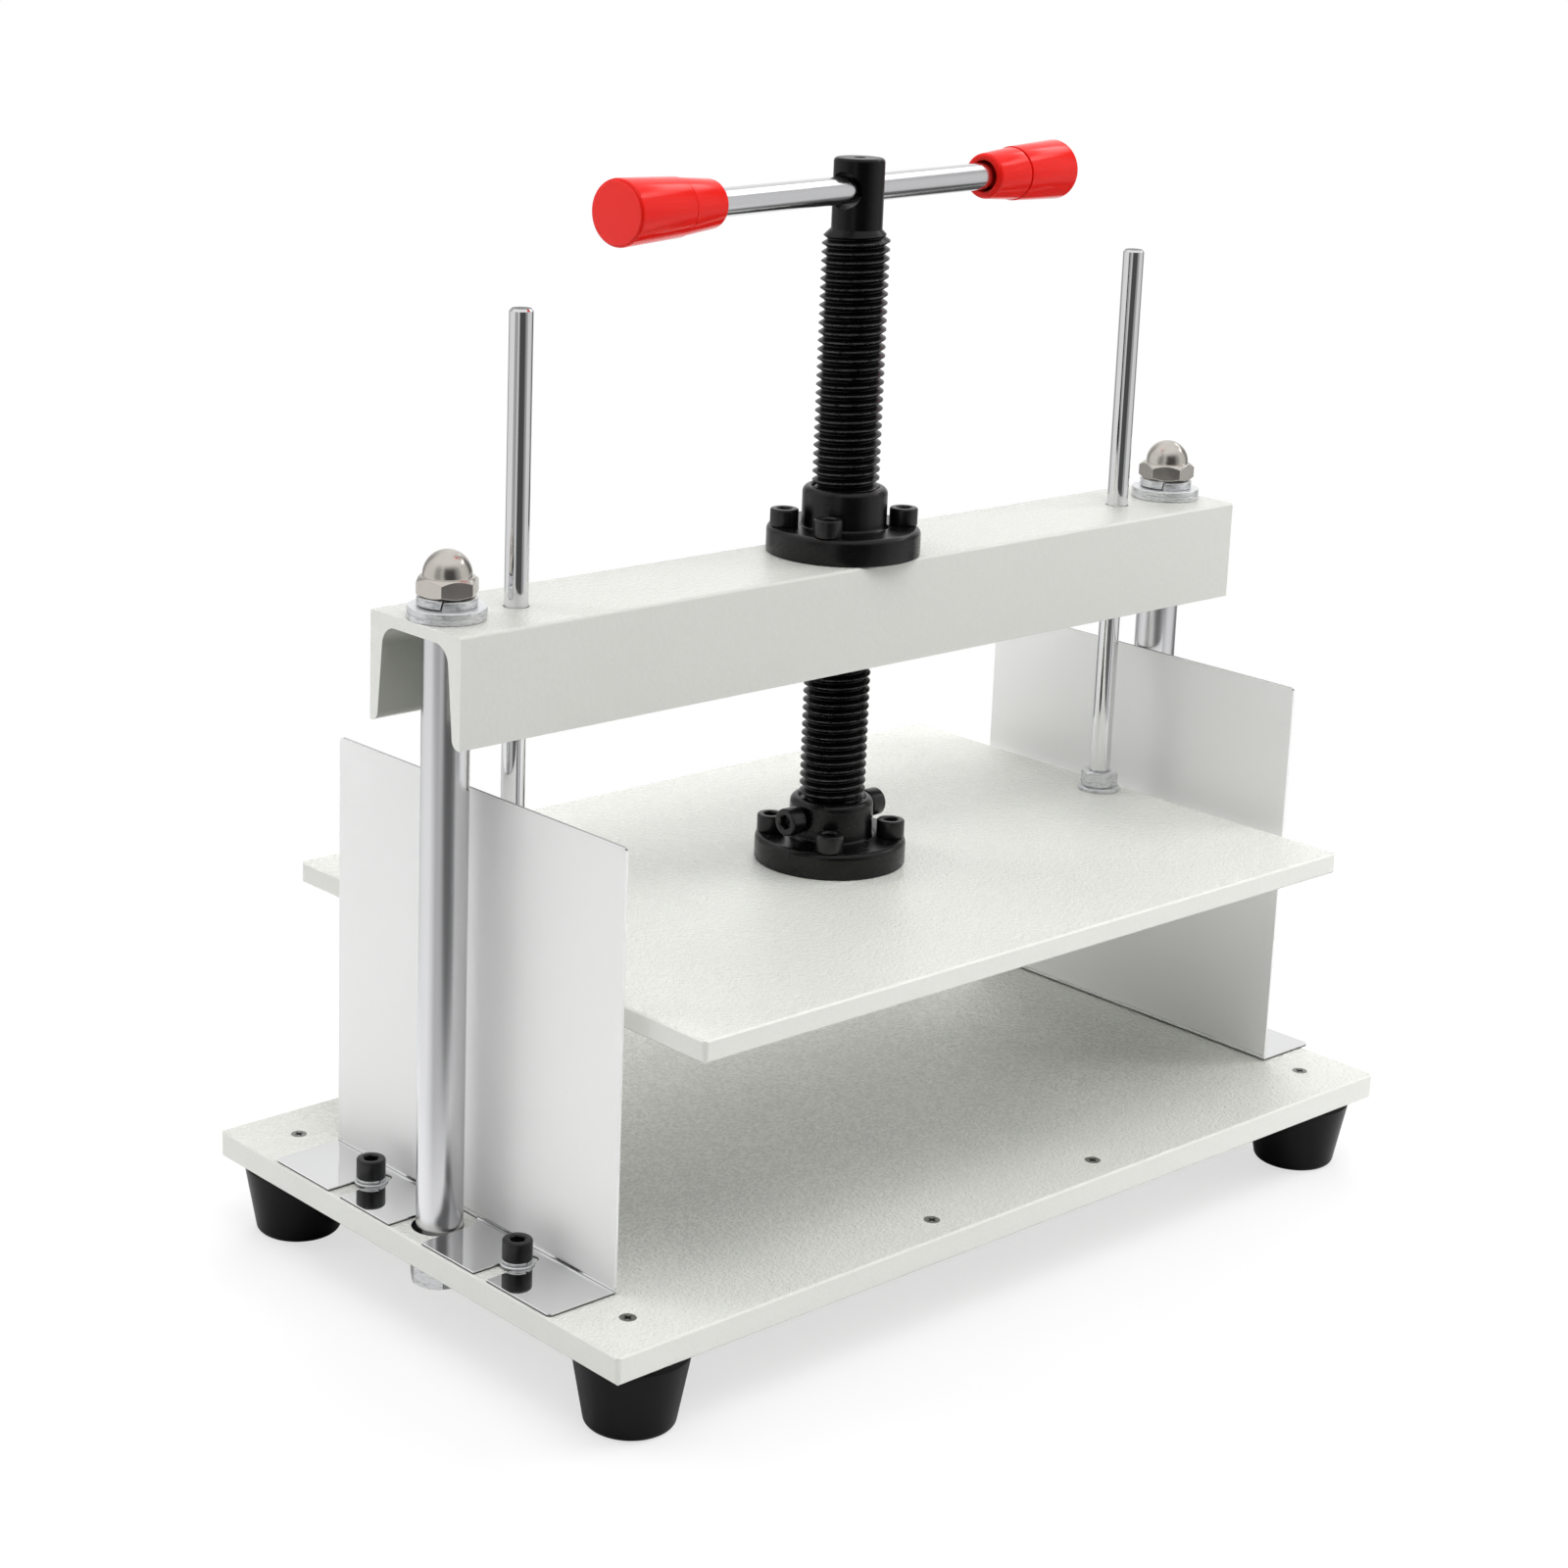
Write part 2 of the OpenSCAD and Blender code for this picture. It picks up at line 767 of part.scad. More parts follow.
module press_platen() {
    color(coat_paint)
        difference() {
            bevelled_plate(platen_length, platen_depth, platen_thick, platen_under);
            at_rods()
                translate([0, 0, platen_under - cut_over])
                    cylinder(h = platen_thick + 2 * cut_over, r = rod_thread_r + fit_gap);
            at_bolts(cup_bolt_angle)
                translate([0, 0, platen_top - cup_bolt_length + flange_thick])
                    cylinder(h = platen_thick + cut_over, r = cap_shank_r);
        }
}

// Guide rod: a plain shaft with a shorter threaded end in the platen
module guide_rod() {
    low_end = platen_under + rod_end_gap;
    rotate_extrude()
        polygon([[0, low_end], [rod_thread_r, low_end],
            [rod_thread_r, rod_shoulder], [rod_r, rod_shoulder],
            [rod_r, rod_top - rod_chamfer], [rod_r - rod_chamfer, rod_top], [0, rod_top]]);
}

module guide_rod_left() {
    color(chrome_steel)
        translate([-rod_x, 0, 0])
            guide_rod();
}

module guide_rod_right() {
    color(chrome_steel)
        translate([rod_x, 0, 0])
            guide_rod();
}

module rod_washers() {
    color(zinc_steel)
        at_rods()
            flat_washer(rod_washer_r, rod_thread_r + fit_gap, rod_washer_h, platen_top);
}

module rod_nuts() {
    color(zinc_steel)
        at_rods()
            hex_nut(rod_nut_flats, rod_nut_h, rod_thread_r + fit_gap, rod_nut_base);
}

// Largest radius of the thread at height z, which shrinks inside the cone above the collar
function thread_limit(z) = collar_r - max(0, z - collar_base - collar_rise) - run_gap;

// Right-hand thread with its core: a crest helix and, half a pitch higher, a root helix
module thread_body(base, turns, crest_r, root_r) {
    s = thread_steps;
    last = turns * s;
    stop = last - s;
    crest = [for (i = [0:last])
        let (t = 360 * i / s, z = base + screw_pitch * i / s, r = min(crest_r, thread_limit(z)))
        [r * cos(t), r * sin(t), z]];
    root = [for (i = [0:stop])
        let (t = 360 * i / s, z = base + screw_pitch * (i / s + 1 / 2),
            r = min(root_r, thread_limit(z)))
        [r * cos(t), r * sin(t), z]];
    r0 = last + 1;
    low = r0 + stop + 1;
    high = low + 1;
    points = concat(crest, root, [[0, 0, base], [0, 0, base + screw_pitch * turns]]);
    faces = concat(
        [for (i = [0:stop - 1]) each [[i, r0 + i + 1, i + 1], [i, r0 + i, r0 + i + 1]]],
        [for (i = [0:stop - 1]) each [[r0 + i, i + 1 + s, r0 + i + 1], [r0 + i, i + s, i + 1 + s]]],
        [for (i = [0:s - 1]) [low, i, i + 1]],
        [[low, r0, 0], [low, s, r0]],
        [for (i = [stop:last - 1]) [high, i + 1, i]],
        [[high, stop, r0 + stop], [high, r0 + stop, last]]);
    polyhedron(points, faces);
}

// Press screw: journal with a groove, thread, collar and the boss for the handle
module press_screw() {
    core = screw_root_r - run_gap;
    color(black_oxide) {
        difference() {
            union() {
                rotate_extrude()
                    polygon([[0, journal_base], [journal_r, journal_base],
                        [journal_r, groove_z - groove_half], [groove_r, groove_z - groove_half],
                        [groove_r, groove_z + groove_half], [journal_r, groove_z + groove_half],
                        [journal_r, thread_base + screw_pitch + cut_over],
                        [0, thread_base + screw_pitch + cut_over]]);
                rotate([0, 0, -360 * thread_start_share])
                    thread_body(thread_base, screw_turns, screw_crest_r, screw_root_r);
                rotate_extrude()
                    polygon([[0, collar_base - cut_over], [core, collar_base - cut_over],
                        [core, collar_base], [collar_r, collar_base],
                        [collar_r, collar_base + collar_rise],
                        [boss_r, collar_base + collar_rise + step_rise],
                        [boss_r, boss_top - boss_chamfer], [boss_r - boss_chamfer, boss_top],
                        [centre_dimple_r, boss_top], [0, boss_top - centre_dimple_r]]);
            }
            translate([0, 0, boss_top - cross_hole_drop])
                rotate([0, 90, bar_angle])
                    cylinder(h = 2 * (boss_r + cut_over), r = cross_hole_r, center = true);
        }
    }
}

// Places its children on the bar's axis, with Z along the bar towards the right grip
module along_bar() {
    translate([0, 0, bar_z])
        rotate([0, 90, bar_angle])
            translate([0, 0, -bar_slide])
                children();
}

module handle_bar() {
    color(bright_steel)
        along_bar()
            rotate_extrude()
                polygon([[0, -bar_half], [bar_r - bar_chamfer, -bar_half],
                    [bar_r, bar_chamfer - bar_half], [bar_r, bar_half - bar_chamfer],
                    [bar_r - bar_chamfer, bar_half], [0, bar_half]]);
}

// Grip with a plain outer part and a tapered inner part, its outer end at z and open at the neck
module grip() {
    body = grip_body_share * grip_length;
    wall = grip_wall;
    neck_c = [grip_neck_r - grip_edge, grip_length - grip_edge];
    rotate_extrude()
        polygon(concat([[0, 0]], arc([grip_r - grip_edge, grip_edge], grip_edge, -90, 0),
            [[grip_waist_r, body], [grip_waist_r - grip_step, body + grip_step]],
            arc(neck_c, grip_edge, 5, 90),
            [[grip_mouth_r, grip_length], [grip_mouth_r, grip_length - grip_mouth_depth],
            [bar_r + fit_gap, grip_length - grip_mouth_depth], [bar_r + fit_gap, wall],
            [0, wall]]));
}

module grip_left() {
    color(red_plastic)
        along_bar()
            translate([0, 0, -handle_length / 2])
                grip();
}

module grip_right() {
    color(red_plastic)
        along_bar()
            translate([0, 0, handle_length / 2])
                mirror([0, 0, 1])
                    grip();
}

// Waste at a sheet's corner: a square with the corner's round left standing, centred on it
module corner_waste(h) {
    over = cut_over;
    difference() {
        translate([-guide_corner_r, -guide_corner_r, 0])
            cube([guide_corner_r + over, guide_corner_r + over, h]);
        translate([-guide_corner_r, -guide_corner_r, -over])
            cylinder(h = h + 2 * over, r = guide_corner_r);
        translate([-guide_corner_r - over, -guide_corner_r - over, -over])
            cube([over, guide_corner_r + 2 * over, h + 2 * over]);
    }
}

// Bent side guide: its outer face at x = 0, its foot running to -X on the bed, z = 0 there
module side_guide(reach) {
    outer_r = guide_bend_r + guide_sheet;
    bend_c = [-guide_bend_r, outer_r];
    slot_end = reach - guide_screw_in - guide_slot_in - (reach - right_guide_reach);
    difference() {
        translate([0, guide_depth / 2, 0])
            rotate([90, 0, 0])
                linear_extrude(guide_depth)
                    polygon(concat([[-guide_foot, 0]], arc(bend_c, outer_r, -90, 0),
                        [[guide_sheet, guide_height], [0, guide_height]],
                        arc(bend_c, guide_bend_r, 0, -90), [[-guide_foot, guide_sheet]]));
        for (y = [-1, 1]) {
            translate([-slot_end, y * guide_screw_y, -cut_over])
                cylinder(h = guide_sheet + 2 * cut_over, r = guide_slot_r);
            translate([-guide_foot - cut_over, y * guide_screw_y - guide_slot_r, -cut_over])
                cube([guide_foot + cut_over - slot_end, 2 * guide_slot_r,
                    guide_sheet + 2 * cut_over]);
        }
        intersection() {
            union() {
                translate([-right_guide_reach + pass_gap, 0, -cut_over])
                    cylinder(h = outer_r + guide_sheet + cut_over, r = column_cut_r);
                translate([-guide_foot - cut_over, -column_cut_r, -cut_over])
                    cube([guide_foot + cut_over - right_guide_reach, 2 * column_cut_r,
                        outer_r + guide_sheet + cut_over]);
            }
            translate([-guide_foot - cut_over, -guide_depth / 2, -2 * cut_over])
                cube([guide_foot + cut_over, guide_depth, guide_height]);
        }
        for (y = [-1, 1])
            mirror([0, (1 - y) / 2, 0]) {
                translate([-guide_foot, guide_depth / 2, -cut_over])
                    mirror([1, 0, 0])
                        corner_waste(guide_sheet + 2 * cut_over);
                translate([-cut_over, guide_depth / 2, guide_height])
                    rotate([90, 0, 90])
                        corner_waste(guide_sheet + 2 * cut_over);
            }
    }
}

module side_guide_left() {
    color(chrome_steel)
        translate([left_guide_reach - column_x, 0, bed_top])
            side_guide(left_guide_reach);
}

module side_guide_right() {
    color(chrome_steel)
        mirror([1, 0, 0])
            translate([right_guide_reach - column_x, 0, bed_top])
                side_guide(right_guide_reach);
}

module guide_screws() {
    color(black_oxide)
        at_guide_screws()
            cap_screw(guide_screw_length, guide_screw_seat);
}

module guide_washers() {
    color(zinc_steel)
        at_guide_screws()
            flat_washer(guide_washer_r, cap_shank_r, guide_washer_h, bed_top + guide_sheet);
}

module guide_spring_washers() {
    color(zinc_steel)
        at_guide_screws()
            spring_washer(guide_spring_r, cap_shank_r, guide_spring_h,
                bed_top + guide_sheet + guide_washer_h);
}

base_plate();
foot_front_left();
foot_front_right();
foot_back_left();
foot_back_right();
foot_screws();
foot_washers();
foot_nuts();
front_screws();
column_left();
column_right();
column_nuts();
top_beam();
beam_washers();
beam_spring_washers();
acorn_nuts();
screw_nut();
screw_nut_bolts();
guide_screws();
guide_washers();
guide_spring_washers();
side_guide_left();
side_guide_right();
press_platen();
thrust_cup();
thrust_cup_bolts();
retaining_screws();
thrust_washer();
guide_rod_left();
guide_rod_right();
rod_washers();
rod_nuts();
press_screw();
handle_bar();
grip_left();
grip_right();
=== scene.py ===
"""Paper press: finishes, fine pieces, floor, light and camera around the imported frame."""

import json
import math

import bpy
import bmesh
import numpy as np
from mathutils import Matrix, Vector


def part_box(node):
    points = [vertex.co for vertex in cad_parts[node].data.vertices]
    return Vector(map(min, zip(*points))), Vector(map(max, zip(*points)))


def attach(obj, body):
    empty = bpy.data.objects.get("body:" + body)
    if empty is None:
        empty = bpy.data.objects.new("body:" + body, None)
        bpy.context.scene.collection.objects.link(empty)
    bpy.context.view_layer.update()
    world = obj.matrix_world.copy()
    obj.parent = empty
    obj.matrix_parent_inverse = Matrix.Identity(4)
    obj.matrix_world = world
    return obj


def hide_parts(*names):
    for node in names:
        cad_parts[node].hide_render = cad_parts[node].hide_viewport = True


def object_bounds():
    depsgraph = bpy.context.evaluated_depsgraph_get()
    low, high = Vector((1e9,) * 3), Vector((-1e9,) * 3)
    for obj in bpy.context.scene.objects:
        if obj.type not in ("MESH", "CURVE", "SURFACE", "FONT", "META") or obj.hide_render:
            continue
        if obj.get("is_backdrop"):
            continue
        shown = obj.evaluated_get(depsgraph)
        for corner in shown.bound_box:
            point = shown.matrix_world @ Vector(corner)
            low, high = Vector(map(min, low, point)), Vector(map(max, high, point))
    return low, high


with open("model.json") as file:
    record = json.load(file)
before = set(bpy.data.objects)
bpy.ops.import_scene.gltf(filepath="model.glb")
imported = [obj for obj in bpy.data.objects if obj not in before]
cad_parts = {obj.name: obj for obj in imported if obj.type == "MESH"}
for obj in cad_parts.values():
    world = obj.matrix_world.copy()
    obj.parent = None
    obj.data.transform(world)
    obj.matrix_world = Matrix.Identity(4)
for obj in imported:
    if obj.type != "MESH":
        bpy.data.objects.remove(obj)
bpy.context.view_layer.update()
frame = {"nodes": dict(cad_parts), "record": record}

MM = 0.001
FULL_TURN = 2 * math.pi


# Places on the frame that the finishes follow, in metres

BED_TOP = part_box("base_plate")[1][2]
PLATEN_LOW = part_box("press_platen")[0][2]
BEAM_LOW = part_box("top_beam")[0][2]
BEAM_END, BEAM_HALF, BEAM_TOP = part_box("top_beam")[1]
COLUMN_X = sum(corner[0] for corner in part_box("column_right")) / 2


# Sizes that the shapes and the finishes share, in millimetres and degrees

CREST_R = 12.5
BAR_ANGLE = 8.8
BAR_AXIS = (math.cos(math.radians(BAR_ANGLE)), math.sin(math.radians(BAR_ANGLE)), 0)
# The loose bar has slid that far to the left, and a grip's outer end lies at the other size from its middle
BAR_SLIDE = 2.5
HANDLE_HALF = 131.15


# Camera, fitted to the photograph as a pinhole with its frame off centre

IMAGE_SIZE = 1600
FOCAL_PX = 3181.4
CENTRE_PX = (702.2, 647.1)
CAMERA_PLACE = (-0.8001, -0.8092, 0.5086)
CAMERA_YAW = -41.825
CAMERA_PITCH = -14.077
CAMERA_ROLL = 1.827
SENSOR_WIDTH = 36
CLIP_END = 50


def make_camera():
    """Camera axes: forward from yaw and pitch, right level with the floor, then both turned by the roll."""
    yaw, pitch, roll = (math.radians(a) for a in (CAMERA_YAW, CAMERA_PITCH, CAMERA_ROLL))
    forward = Vector((-math.sin(yaw) * math.cos(pitch), math.cos(yaw) * math.cos(pitch), math.sin(pitch)))
    level = forward.cross(Vector((0, 0, 1))).normalized()
    upright = level.cross(forward)
    right = level * math.cos(roll) + upright * math.sin(roll)
    up = upright * math.cos(roll) - level * math.sin(roll)
    data = bpy.data.cameras.new("camera")
    data.sensor_width = SENSOR_WIDTH
    data.lens = FOCAL_PX / IMAGE_SIZE * SENSOR_WIDTH
    data.shift_x = (IMAGE_SIZE / 2 - CENTRE_PX[0]) / IMAGE_SIZE
    data.shift_y = (CENTRE_PX[1] - IMAGE_SIZE / 2) / IMAGE_SIZE
    data.clip_end = CLIP_END
    camera = bpy.data.objects.new("camera", data)
    bpy.context.scene.collection.objects.link(camera)
    turn = Matrix((right, up, -forward)).transposed()
    camera.matrix_world = Matrix.Translation(CAMERA_PLACE) @ turn.to_4x4()
    bpy.context.scene.camera = camera


make_camera()


# Shader values

class Value:
    """One output of a shader node, or the tree itself. Sums, products and powers of values add Math nodes."""

    def __init__(self, tree, socket=None):
        self.tree = tree
        self.socket = socket

    def feed(self, node, name, value):
        """Puts a number, a colour or a link into a node's input."""
        if isinstance(value, Value):
            self.tree.links.new(value.socket, node.inputs[name])
        else:
            node.inputs[name].default_value = value

    def node(self, kind, settings=None, inputs=None, output=0):
        """Adds a node with its settings, among them a ramp's stops, then its inputs, and gives one output."""
        made = self.tree.nodes.new(kind)
        for name, value in (settings or {}).items():
            if name == "stops":
                for i, (place, colour) in enumerate(value):
                    stop = made.color_ramp.elements[i] if i < 2 else made.color_ramp.elements.new(place)
                    stop.position = place
                    stop.color = (*colour, 1)
            else:
                setattr(made, name, value)
        for name, value in (inputs or {}).items():
            self.feed(made, name, value)
        return Value(self.tree, made.outputs[output])

    def math(self, operation, *values):
        return self.node("ShaderNodeMath", {"operation": operation}, dict(enumerate(values)))

    def __add__(self, other):
        return self.math("ADD", self, other)

    def __sub__(self, other):
        return self.math("SUBTRACT", self, other)

    def __rsub__(self, other):
        return self.math("SUBTRACT", other, self)

    def __mul__(self, other):
        return self.math("MULTIPLY", self, other)

    def __pow__(self, other):
        return self.math("POWER", self, other)

    def __abs__(self):
        return self.math("ABSOLUTE", self)

    __radd__ = __add__
    __rmul__ = __mul__


def place(start):
    """Object coordinates, in metres: every piece's origin is the frame's own."""
    return start.node("ShaderNodeTexCoord", output="Object")


def noise(start, scale, detail=2.0, rough=0.5, vector=None):
    """Noise from 0 to 1 with that many cells to a metre."""
    inputs = {"Vector": vector or place(start), "Scale": scale, "Detail": detail, "Roughness": rough}
    return start.node("ShaderNodeTexNoise", None, inputs)


def stretched(start, scales, turn=0):
    """Object coordinates turned round Z by that many degrees and scaled along each axis, for grain with a
    direction."""
    return start.node("ShaderNodeMapping", None, {
        "Vector": place(start), "Rotation": (0, 0, math.radians(turn)), "Scale": scales})


def split(start, vector):
    """The three parts of a vector."""
    return [start.node("ShaderNodeSeparateXYZ", None, {"Vector": vector}, output=axis) for axis in "XYZ"]


def vector_math(start, operation, *vectors, output="Vector"):
    """One operation on vectors."""
    return start.node("ShaderNodeVectorMath", {"operation": operation}, dict(enumerate(vectors)), output)


def squareness(start):
    """The squares of the normal's three parts: 1 where a face is square to that axis."""
    return [part * part for part in split(start, start.node("ShaderNodeTexCoord", output="Normal"))]


def larger(first, second):
    """The larger of two numbers."""
    return first.math("MAXIMUM", first, second)


def between(factor, low, high):
    """A number that runs from low to high as factor goes from 0 to 1."""
    return factor * (high - low) + low


def blend(start, factor, first, second):
    """A colour between two, where factor may vary over the surface."""
    first, second = (colour if isinstance(colour, Value) else (*colour, 1) for colour in (first, second))
    settings = {"data_type": "RGBA", "clamp_factor": True}
    return start.node("ShaderNodeMix", settings, {0: factor, 6: first, 7: second}, output=2)


def ramp(start, factor, low, high):
    """0 below low, 1 above high, smooth between."""
    inputs = {"Value": factor, "From Min": low, "From Max": high}
    return start.node("ShaderNodeMapRange", {"interpolation_type": "SMOOTHSTEP"}, inputs)


def bump(start, height, depth, strength=1.0, normal=None):
    """Normal of a surface raised by height times depth, in metres."""
    inputs = {"Height": height, "Distance": depth, "Strength": strength}
    if normal is not None:
        inputs["Normal"] = normal
    return start.node("ShaderNodeBump", None, inputs)


def soft_edge(start, radius):
    """Normal that rounds the edges between faces by that radius, in millimetres."""
    return start.node("ShaderNodeBevel", {"samples": 6}, {"Radius": radius * MM})


def finish(name, build):
    """A material whose shader sockets are what build returns for them."""
    material = bpy.data.materials.new(name)
    material.use_nodes = True
    start = Value(material.node_tree)
    shader = material.node_tree.nodes["Principled BSDF"]
    for socket, value in build(start).items():
        if socket == "Base Color" and not isinstance(value, Value):
            value = (*value, 1)
        start.feed(shader, socket, value)
    return material


# Finishes

# The bed's grain flecks, painted stronger and darker as shade between the guides, fade out between these
# distances, towards the bed's ends and from its front edge
GRAIN_SHADE_X = (150 * MM, 180 * MM)
GRAIN_SHADE_Y = (-110 * MM, -40 * MM)
# The middles of the seats, painted black as shade, lie a little beside the columns, outwards and to the back
SEAT_SHIFT = 0.8 * MM
SEAT_R = 9.3 * MM
# Bands that part the channel's inside, darkened as painted shade, from its outer sides, its lower
# edges and its web: how far within the beam's box each starts and ends
CHANNEL_SIDE = (3.5 * MM, 2.2 * MM)
CHANNEL_EDGE = (0.1 * MM, 0.6 * MM)
CHANNEL_WEB = (4.4 * MM, 3.6 * MM)
# Height, part way up the side guides, above which a level face is a cut edge, painted dark as a reflection
GUIDE_MIDDLE = 100 * MM
# Heights above the bed over which the sheet's upper side starts and the painted shadow below it ends, and
# over which the mirror turns hazy
SHEET_SHADOW_TOP = (0.5 * MM, 0.8 * MM)
SHEET_HAZE = (1.4 * MM, 3 * MM)
# Depths below the bed's top over which the countersunk heads darken, as painted shade
HEAD_SHADE = (0.6 * MM, 0.3 * MM)
# Depths of the grain, in metres for a height of 1
PEEL_DEPTH = 1.6 * MM
SKIN_DEPTH = 0.1 * MM
TURNED_DEPTH = 0.06 * MM
BOLT_DEPTH = 0.05 * MM
RUBBER_DEPTH = 0.08 * MM
HAIRLINE_DEPTH = 0.02 * MM
PLATING_DEPTH = 0.03 * MM
SHEET_WAVE = 0.35 * MM


def painted_channel_shade(start, across, up):
    """1 on the faces within the beam's channel, short of its outer sides, its lower edges and its web."""
    # Painted shade goes on this band inside the channel.
    channel_shade = 1 - ramp(start, abs(across), BEAM_HALF - CHANNEL_SIDE[0], BEAM_HALF - CHANNEL_SIDE[1])
    channel_shade = channel_shade * ramp(start, up, BEAM_LOW + CHANNEL_EDGE[0], BEAM_LOW + CHANNEL_EDGE[1])
    return channel_shade * (1 - ramp(start, up, BEAM_TOP - CHANNEL_WEB[0], BEAM_TOP - CHANNEL_WEB[1]))


def painted_seat_shade(start, along, across, up):
    """1 in the round seats of the columns, below the bed's top, where black is painted as shade."""
    from_side = abs(along) - COLUMN_X - SEAT_SHIFT
    from_middle = across - SEAT_SHIFT
    reach = (from_side * from_side + from_middle * from_middle) ** 0.5
    seat = 1 - ramp(start, reach, SEAT_R - 0.1 * MM, SEAT_R + 0.1 * MM)
    return seat * (1 - ramp(start, up, BED_TOP - 0.4 * MM, BED_TOP - 0.1 * MM))


def coat_paint(start):
    """Off-white powder coat: orange peel on the flat sides, a fine grain on the upright ones, faint clouds.
    The bed's grain is the coarsest and the beam is smooth. Painted light and shade: level faces are lighter
    than upright ones, the bed's flecks between the guides darker, the beam darker but for its ends, which
    are painted lighter, the inside of the channel darker, and black in the seats of the columns."""
    along, across, up = split(start, place(start))
    level = ramp(start, squareness(start)[2], 0.3, 0.9)
    peel = noise(start, 760, 3, 0.6)
    fine = noise(start, 620, 3, 0.65)
    cloud = noise(start, 11, 3)
    on_beam = ramp(start, up, BEAM_LOW - 3 * MM, BEAM_LOW - MM)
    # Partly real grain, partly painted shade: the bed's flecks are stronger and darker between the guides
    grain_shade_zone = 1 - ramp(start, up, BED_TOP + MM, PLATEN_LOW)
    grain_shade_zone = grain_shade_zone * (1 - ramp(start, abs(along), *GRAIN_SHADE_X)) * ramp(start, across, *GRAIN_SHADE_Y)
    height = (peel - 0.5) * level * (1 - on_beam * 0.6) + (fine - 0.5) * (1 - level) * 0.05
    fleck = ramp(start, peel, 0.38, 0.62)
    grain = (between(grain_shade_zone, 0.5, fleck) * 0.8 + fleck * 0.2) * level + fine * (1 - level)
    # Painted light: the beam's sawn end faces are painted lighter.
    painted_lit_ends = ramp(start, abs(along), BEAM_END - 0.3 * MM, BEAM_END - 0.1 * MM) * on_beam
    channel_shade = painted_channel_shade(start, across, up) * (1 - painted_lit_ends)
    # Painted light and shade: level faces lighter, the beam and its level faces darker, its ends lighter
    shade = (1 - on_beam * (1 - painted_lit_ends) * 0.19) * (level * 0.08 + 0.92 + painted_lit_ends * 0.08)
    shade = shade * (1 - on_beam * level * 0.15) * (1 - grain_shade_zone * level * (1 - fleck) * 0.12)
    shade = shade * (1 - level * (1 - on_beam) * 0.02)
    tone = blend(start, cloud * 0.4 + grain * 0.6, (0.80, 0.807, 0.76), (0.895, 0.902, 0.855))
    tone = blend(start, 1 - shade, tone, (0, 0, 0))
    # Painted shade: the inside of the channel is darker.
    tone = blend(start, channel_shade, tone, (0.35, 0.36, 0.32))
    return {
        # Painted shade: the seats of the columns are black.
        "Base Color": blend(start, painted_seat_shade(start, along, across, up), tone, (0.01, 0.01, 0.01)),
        "Roughness": between(peel, 0.15, 0.23),
        "Normal": bump(start, height, PEEL_DEPTH),
    }


def black_oxide(start):
    """Satin black of the castings: shallow uneven skin and specks."""
    skin = noise(start, 260, 4, 0.6)
    speck = noise(start, 1500, 2, 0.7)
    return {
        "Base Color": blend(start, skin, (0.001, 0.001, 0.001), (0.003, 0.003, 0.003)),
        "Roughness": between(skin, 0.2, 0.34),
        "Specular IOR Level": 0.34,
        "Normal": bump(start, skin + speck * 0.4, SKIN_DEPTH, 0.35),
    }


def black_screw(start):
    """Blackened turned steel of the press screw, rubbed a little bright along the edges of the crests."""
    from_axis = vector_math(start, "MULTIPLY", place(start), (1, 1, 0))
    reach = vector_math(start, "LENGTH", from_axis, output="Value")
    smear = noise(start, 340, 3, 0.65)
    crest = ramp(start, reach, (CREST_R - 0.4) * MM, (CREST_R - 0.1) * MM)
    rubbed = crest * ramp(start, smear, 0.3, 0.6)
    lines = noise(start, 1, 2, 0.6, stretched(start, (60, 60, 2600)))
    return {
        "Base Color": blend(start, rubbed, (0.0015, 0.0015, 0.0015), (0.075, 0.075, 0.077)),
        "Metallic": rubbed * 0.8,
        "Roughness": between(smear, 0.22, 0.34),
        "Specular IOR Level": 0.24,
        "Normal": bump(start, lines + smear, TURNED_DEPTH, 0.3),
    }


def black_bolt(start):
    """Black oxide of the cap screws, a little glossier than the castings."""
    smear = noise(start, 700, 3, 0.6)
    return {
        "Base Color": blend(start, smear, (0.003, 0.003, 0.003), (0.008, 0.008, 0.009)),
        "Roughness": between(smear, 0.24, 0.36),
        "Specular IOR Level": 0.45,
        "Normal": bump(start, smear, BOLT_DEPTH, 0.25, soft_edge(start, 0.25)),
    }


def black_rubber(start):
    """Moulded rubber: dull with a fine grain."""
    grain = noise(start, 1300, 3, 0.7)
    cloud = noise(start, 60, 2)
    return {
        "Base Color": blend(start, cloud, (0.002, 0.002, 0.0022), (0.005, 0.005, 0.0055)),
        "Roughness": between(grain, 0.3, 0.45),
        "Specular IOR Level": 0.13,
        "Normal": bump(start, grain, RUBBER_DEPTH, 0.35),
    }


def ground_steel(start):
    """Ground columns: hairlines along the length over a satin metal."""
    lines = noise(start, 1, 3, 0.6, stretched(start, (2300, 2300, 14)))
    cloud = noise(start, 35, 2)
    return {
        "Base Color": blend(start, cloud, (0.72, 0.72, 0.735), (0.76, 0.76, 0.775)),
        "Metallic": 1.0,
        "Roughness": between(lines, 0.2, 0.3),
        "Normal": bump(start, lines, HAIRLINE_DEPTH, 0.25),
    }


def bar_steel(start):
    """Drawn bar of the handle: hairlines along the bar."""
    lines = noise(start, 1, 3, 0.6, stretched(start, (16, 2300, 2300), -BAR_ANGLE))
    return {
        "Base Color": blend(start, lines, (0.70, 0.70, 0.715), (0.76, 0.76, 0.775)),
        "Metallic": 1.0,
        "Roughness": between(lines, 0.12, 0.22),
        "Normal": bump(start, lines, HAIRLINE_DEPTH, 0.2),
    }


